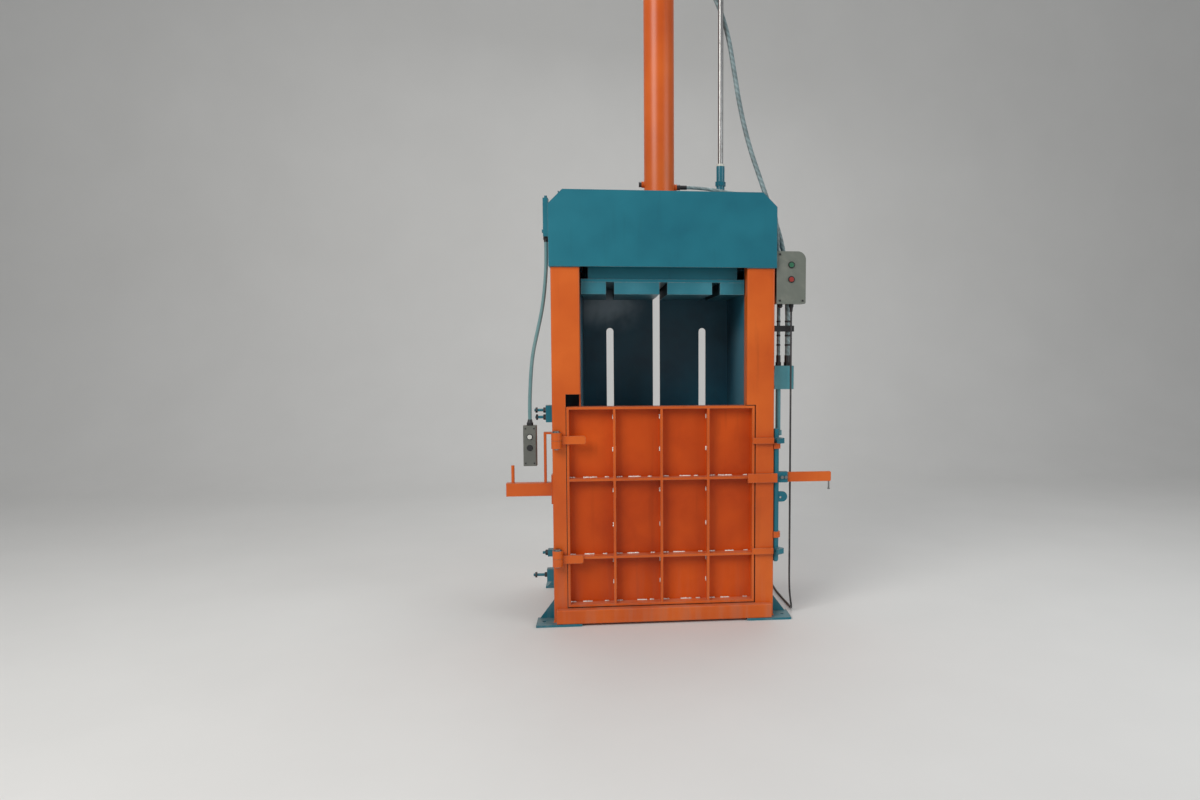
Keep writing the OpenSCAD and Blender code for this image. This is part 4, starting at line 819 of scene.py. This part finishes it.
def place_tree():
    """Builds the node group that sets a fastener on each point."""
    tree = bpy.data.node_groups.new("set_fasteners", "GeometryNodeTree")
    face = tree.interface
    face.new_socket("Places", in_out="INPUT", socket_type="NodeSocketGeometry")
    face.new_socket("Piece", in_out="INPUT", socket_type="NodeSocketObject")
    face.new_socket("Turn", in_out="INPUT", socket_type="NodeSocketVector")
    face.new_socket("Seed", in_out="INPUT", socket_type="NodeSocketInt").default_value = 5
    face.new_socket("Finish", in_out="INPUT", socket_type="NodeSocketMaterial")
    face.new_socket("Fasteners", in_out="OUTPUT", socket_type="NodeSocketGeometry")
    new, link = tree.nodes.new, tree.links.new
    given, result = new("NodeGroupInput"), new("NodeGroupOutput")
    piece, place = new("GeometryNodeObjectInfo"), new("GeometryNodeInstanceOnPoints")
    spin, turn = new("FunctionNodeRandomValue"), new("FunctionNodeRotateRotation")
    spin.data_type = "FLOAT_VECTOR"
    spin.inputs[0].default_value, spin.inputs[1].default_value = (0, 0, 0), (0, 0, 2 * math.pi)
    turn.rotation_space = "LOCAL"
    real, paint_it = new("GeometryNodeRealizeInstances"), new("GeometryNodeSetMaterial")
    link(given.outputs["Piece"], piece.inputs["Object"])
    link(given.outputs["Places"], place.inputs["Points"])
    link(piece.outputs["Geometry"], place.inputs["Instance"])
    link(given.outputs["Seed"], spin.inputs["Seed"])
    link(given.outputs["Turn"], turn.inputs["Rotation"])
    link(spin.outputs[0], turn.inputs["Rotate By"])
    link(turn.outputs["Rotation"], place.inputs["Rotation"])
    link(place.outputs["Instances"], real.inputs["Geometry"])
    link(real.outputs["Geometry"], paint_it.inputs["Geometry"])
    link(given.outputs["Finish"], paint_it.inputs["Material"])
    link(paint_it.outputs["Geometry"], result.inputs["Fasteners"])
    return tree


FASTENERS = place_tree()
UP, FRONT, LEFT = (0.0, 0.0, 0.0), (math.pi / 2, 0.0, 0.0), (0.0, -math.pi / 2, 0.0)


def set_out(name, shape, points, turn, body, slot, round_off=False):
    """Sets copies of a fastener on points, all on one body, and drops the pattern piece."""
    mesh = bpy.data.meshes.new(name + "_points")
    mesh.from_pydata(points, [], [])
    piece = grown(name, mesh, FASTENERS, body, slot, round_off=round_off, Piece=shape, Turn=turn)
    bpy.data.objects.remove(shape)
    return piece


def middle(node):
    """Returns the middle of a node's box in X and in Z."""
    lo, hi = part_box(node)
    return (lo[0] + hi[0]) / 2, (lo[2] + hi[2]) / 2


# %% Set out the fasteners
BOLT_CIRCLE, FLANGE_THICK = 0.110, 0.035
at_flange = [(BOLT_CIRCLE * math.cos(a), hose_axis_y + BOLT_CIRCLE * math.sin(a), top_z + FLANGE_THICK)
             for a in (math.radians((i + 0.5) * 45) for i in range(8))]
set_out("flange_washers", washer("washer", 0.0185, 0.0245, 0.003), at_flange, UP, "frame", "bright_steel")
lug_y, high_a, high_b, low_b = -0.320, 1.075, 1.040, 0.244
studs = [(-0.587, lug_y, high_a), (-0.587, lug_y, high_b), (-0.585, lug_y, 0.357), (-0.590, lug_y, low_b)]
set_out("lug_nuts", nut("nut", 0.024, 0.0071, 0.012), [(x - 0.001, y, z) for x, y, z in studs], LEFT,
        "frame", "dark_fittings")
outer_studs = [(-0.628, lug_y, high_a), (-0.626, lug_y, high_b), (-0.640, lug_y, low_b)]
set_out("lug_end_nuts", nut("end_nut", 0.024, 0.0071, 0.010), outer_studs, LEFT, "frame", "dark_fittings")
cover_lo, cover_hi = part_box("starter_cover")
inset = 0.016
corners = [(cover_lo[0] + inset, cover_lo[2] + inset), (cover_hi[0] - inset, cover_lo[2] + inset),
           (cover_lo[0] + inset, cover_hi[2] - inset)]
set_out("cover_screws", screw_head("cover_screw", 0.0052), [(x, cover_lo[1], z) for x, z in corners],
        FRONT, "frame", "dark_fittings", True)
rings = [(x, cover_lo[1], z) for x, z in map(middle, ("starter_button", "stop_button"))]
set_out("button_rings", washer("button_ring", 0.0125, 0.0170, 0.0018), rings, FRONT, "frame",
        "dark_fittings")
grip_lo, grip_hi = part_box("pendant")
in_x, in_z = 0.012, 0.014
grip = [(x, grip_lo[1], z) for x in (grip_lo[0] + in_x, grip_hi[0] - in_x)
        for z in (grip_lo[2] + in_z, grip_hi[2] - in_z)]
set_out("pendant_screws", screw_head("pendant_screw", 0.0038), grip, FRONT, "frame",
        "dark_fittings", True)
grip_rings = [(x, grip_lo[1], z) for x, z in map(middle, ("pendant_up", "pendant_down"))]
set_out("pendant_rings", washer("pendant_ring", 0.0115, 0.0150, 0.0016), grip_rings, FRONT, "frame",
        "dark_fittings")
for tag, x, d in (("big", BIG_X, BIG_D), ("small", SMALL_X, SMALL_D)):
    bands = [(x, HOSE_Y, z) for z in (1.392, 1.440, 1.512)]
    set_out("hose_bands_" + tag, washer("band_" + tag, d / 2 - 0.0004, d / 2 + 0.0016, 0.009), bands,
            UP, "frame", "dark_fittings")
PIN_X, PIN_Y, ABOVE_HINGE = -0.533, -0.396, 0.0398
keepers = [(PIN_X, PIN_Y, hinge_z + ABOVE_HINGE) for hinge_z in (0.930, 0.343)]
set_out("pin_washers", washer("pin_washer", 0.0168, 0.0225, 0.0022), keepers, UP, "frame", "bright_steel")


# %% [markdown]
# ## The dark coat on the rear posts
#
# The painters masked nothing inside the chamber, so the dark coat runs from the side walls over
# the rear posts' inner faces to the back wall. It is a thin sheet on each post, which stays
# clear of the platen.

# %% Coat inside the chamber
wall_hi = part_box("side_walls")[1]
back_lo, back_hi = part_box("back_wall")
floor_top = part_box("floor_blocks")[1][2]
coat_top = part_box("crosshead_plates")[0][2] + 0.09
coat = bmesh.new()
for side in (-1, 1):
    x0, x1 = side * (back_hi[0] + 0.0001), side * (back_hi[0] - 0.0006)
    corners = [(x, y, z) for x in (x0, x1) for y in (wall_hi[1] + 0.0003, back_lo[1] - 0.0003)
               for z in (floor_top + 0.001, coat_top)]
    v = [coat.verts.new(c) for c in corners]
    for loop in ((0, 1, 3, 2), (4, 6, 7, 5), (0, 4, 5, 1), (2, 3, 7, 6), (0, 2, 6, 4), (1, 5, 7, 3)):
        coat.faces.new([v[i] for i in loop])
bmesh.ops.recalc_face_normals(coat, faces=coat.faces)
coat_mesh = bpy.data.meshes.new("post_coat")
coat.to_mesh(coat_mesh)
coat.free()
post_coat = bpy.data.objects.new("post_coat", coat_mesh)
bpy.context.scene.collection.objects.link(post_coat)
coat_mesh.materials.append(finishes["chamber_steel"])
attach(post_coat, "frame")
print("coat height:", round(coat_top - floor_top, 3), "m; side walls end at", round(wall_hi[2], 3), "m")

# %% [markdown]
# ## Floor, backdrop and light
#
# The floor runs up into the backdrop in one curve, so no horizon shows behind the machine. A
# large soft light from the upper left, a weaker one from the right and an even world light give
# the plain level of a studio.

# %% Stage
def studio_sweep():
    """Makes the floor and the backdrop as one sheet."""
    radius, back, half, high = 2.5, 6.0, 14.0, 9.0
    profile = [(-9.0, 0.0)] + [
        (back - radius + radius * math.sin(a), radius - radius * math.cos(a))
        for a in (math.radians(90 * k / 16) for k in range(17))] + [(back, high)]
    mesh = bpy.data.meshes.new("studio")
    verts = [(x, y, z) for y, z in profile for x in (-half, half)]
    faces = [(2 * i, 2 * i + 1, 2 * i + 3, 2 * i + 2) for i in range(len(profile) - 1)]
    mesh.from_pydata(verts, [], faces)
    for polygon in mesh.polygons:
        polygon.use_smooth = True
    sheet = bpy.data.objects.new("studio", mesh)
    bpy.context.scene.collection.objects.link(sheet)
    s = Surface("pale studio floor")
    cloud = s.noise(1.3, 4.0)
    grain = s.noise(60.0, 3.0)
    colour = cloud.tint((0.66, 0.655, 0.64), (0.72, 0.715, 0.70))
    mesh.materials.append(s.finish(colour, 0.62, s.bump(grain, 0.05, 0.002)))


studio_sweep()


def area_light(name, place, target, size, watts, colour=(1.0, 1.0, 1.0)):
    data = bpy.data.lights.new(name, "AREA")
    data.shape = "RECTANGLE"
    data.size, data.size_y = size
    data.energy = watts
    data.color = colour
    lamp = bpy.data.objects.new(name, data)
    lamp.location = place
    lamp.rotation_euler = (Vector(target) - Vector(place)).to_track_quat("-Z", "Y").to_euler()
    bpy.context.scene.collection.objects.link(lamp)


area_light("key", (-3.6, -4.2, 4.6), (0, 0, 1.3), (3.2, 3.2), 240.0, (1.0, 0.985, 0.96))
area_light("fill", (4.2, -3.0, 2.8), (0, 0, 1.2), (3.0, 3.0), 80.0, (0.95, 0.98, 1.0))
area_light("top", (0.5, 1.5, 6.0), (0, 0.3, 1.5), (3.5, 3.5), 100.0)
world = bpy.data.worlds.new("soft world")
world.use_nodes = True
world.node_tree.nodes["Background"].inputs["Color"].default_value = (0.92, 0.94, 0.96, 1.0)
world.node_tree.nodes["Background"].inputs["Strength"].default_value = 0.34
bpy.context.scene.world = world
bpy.context.scene.view_settings.view_transform = "Standard"
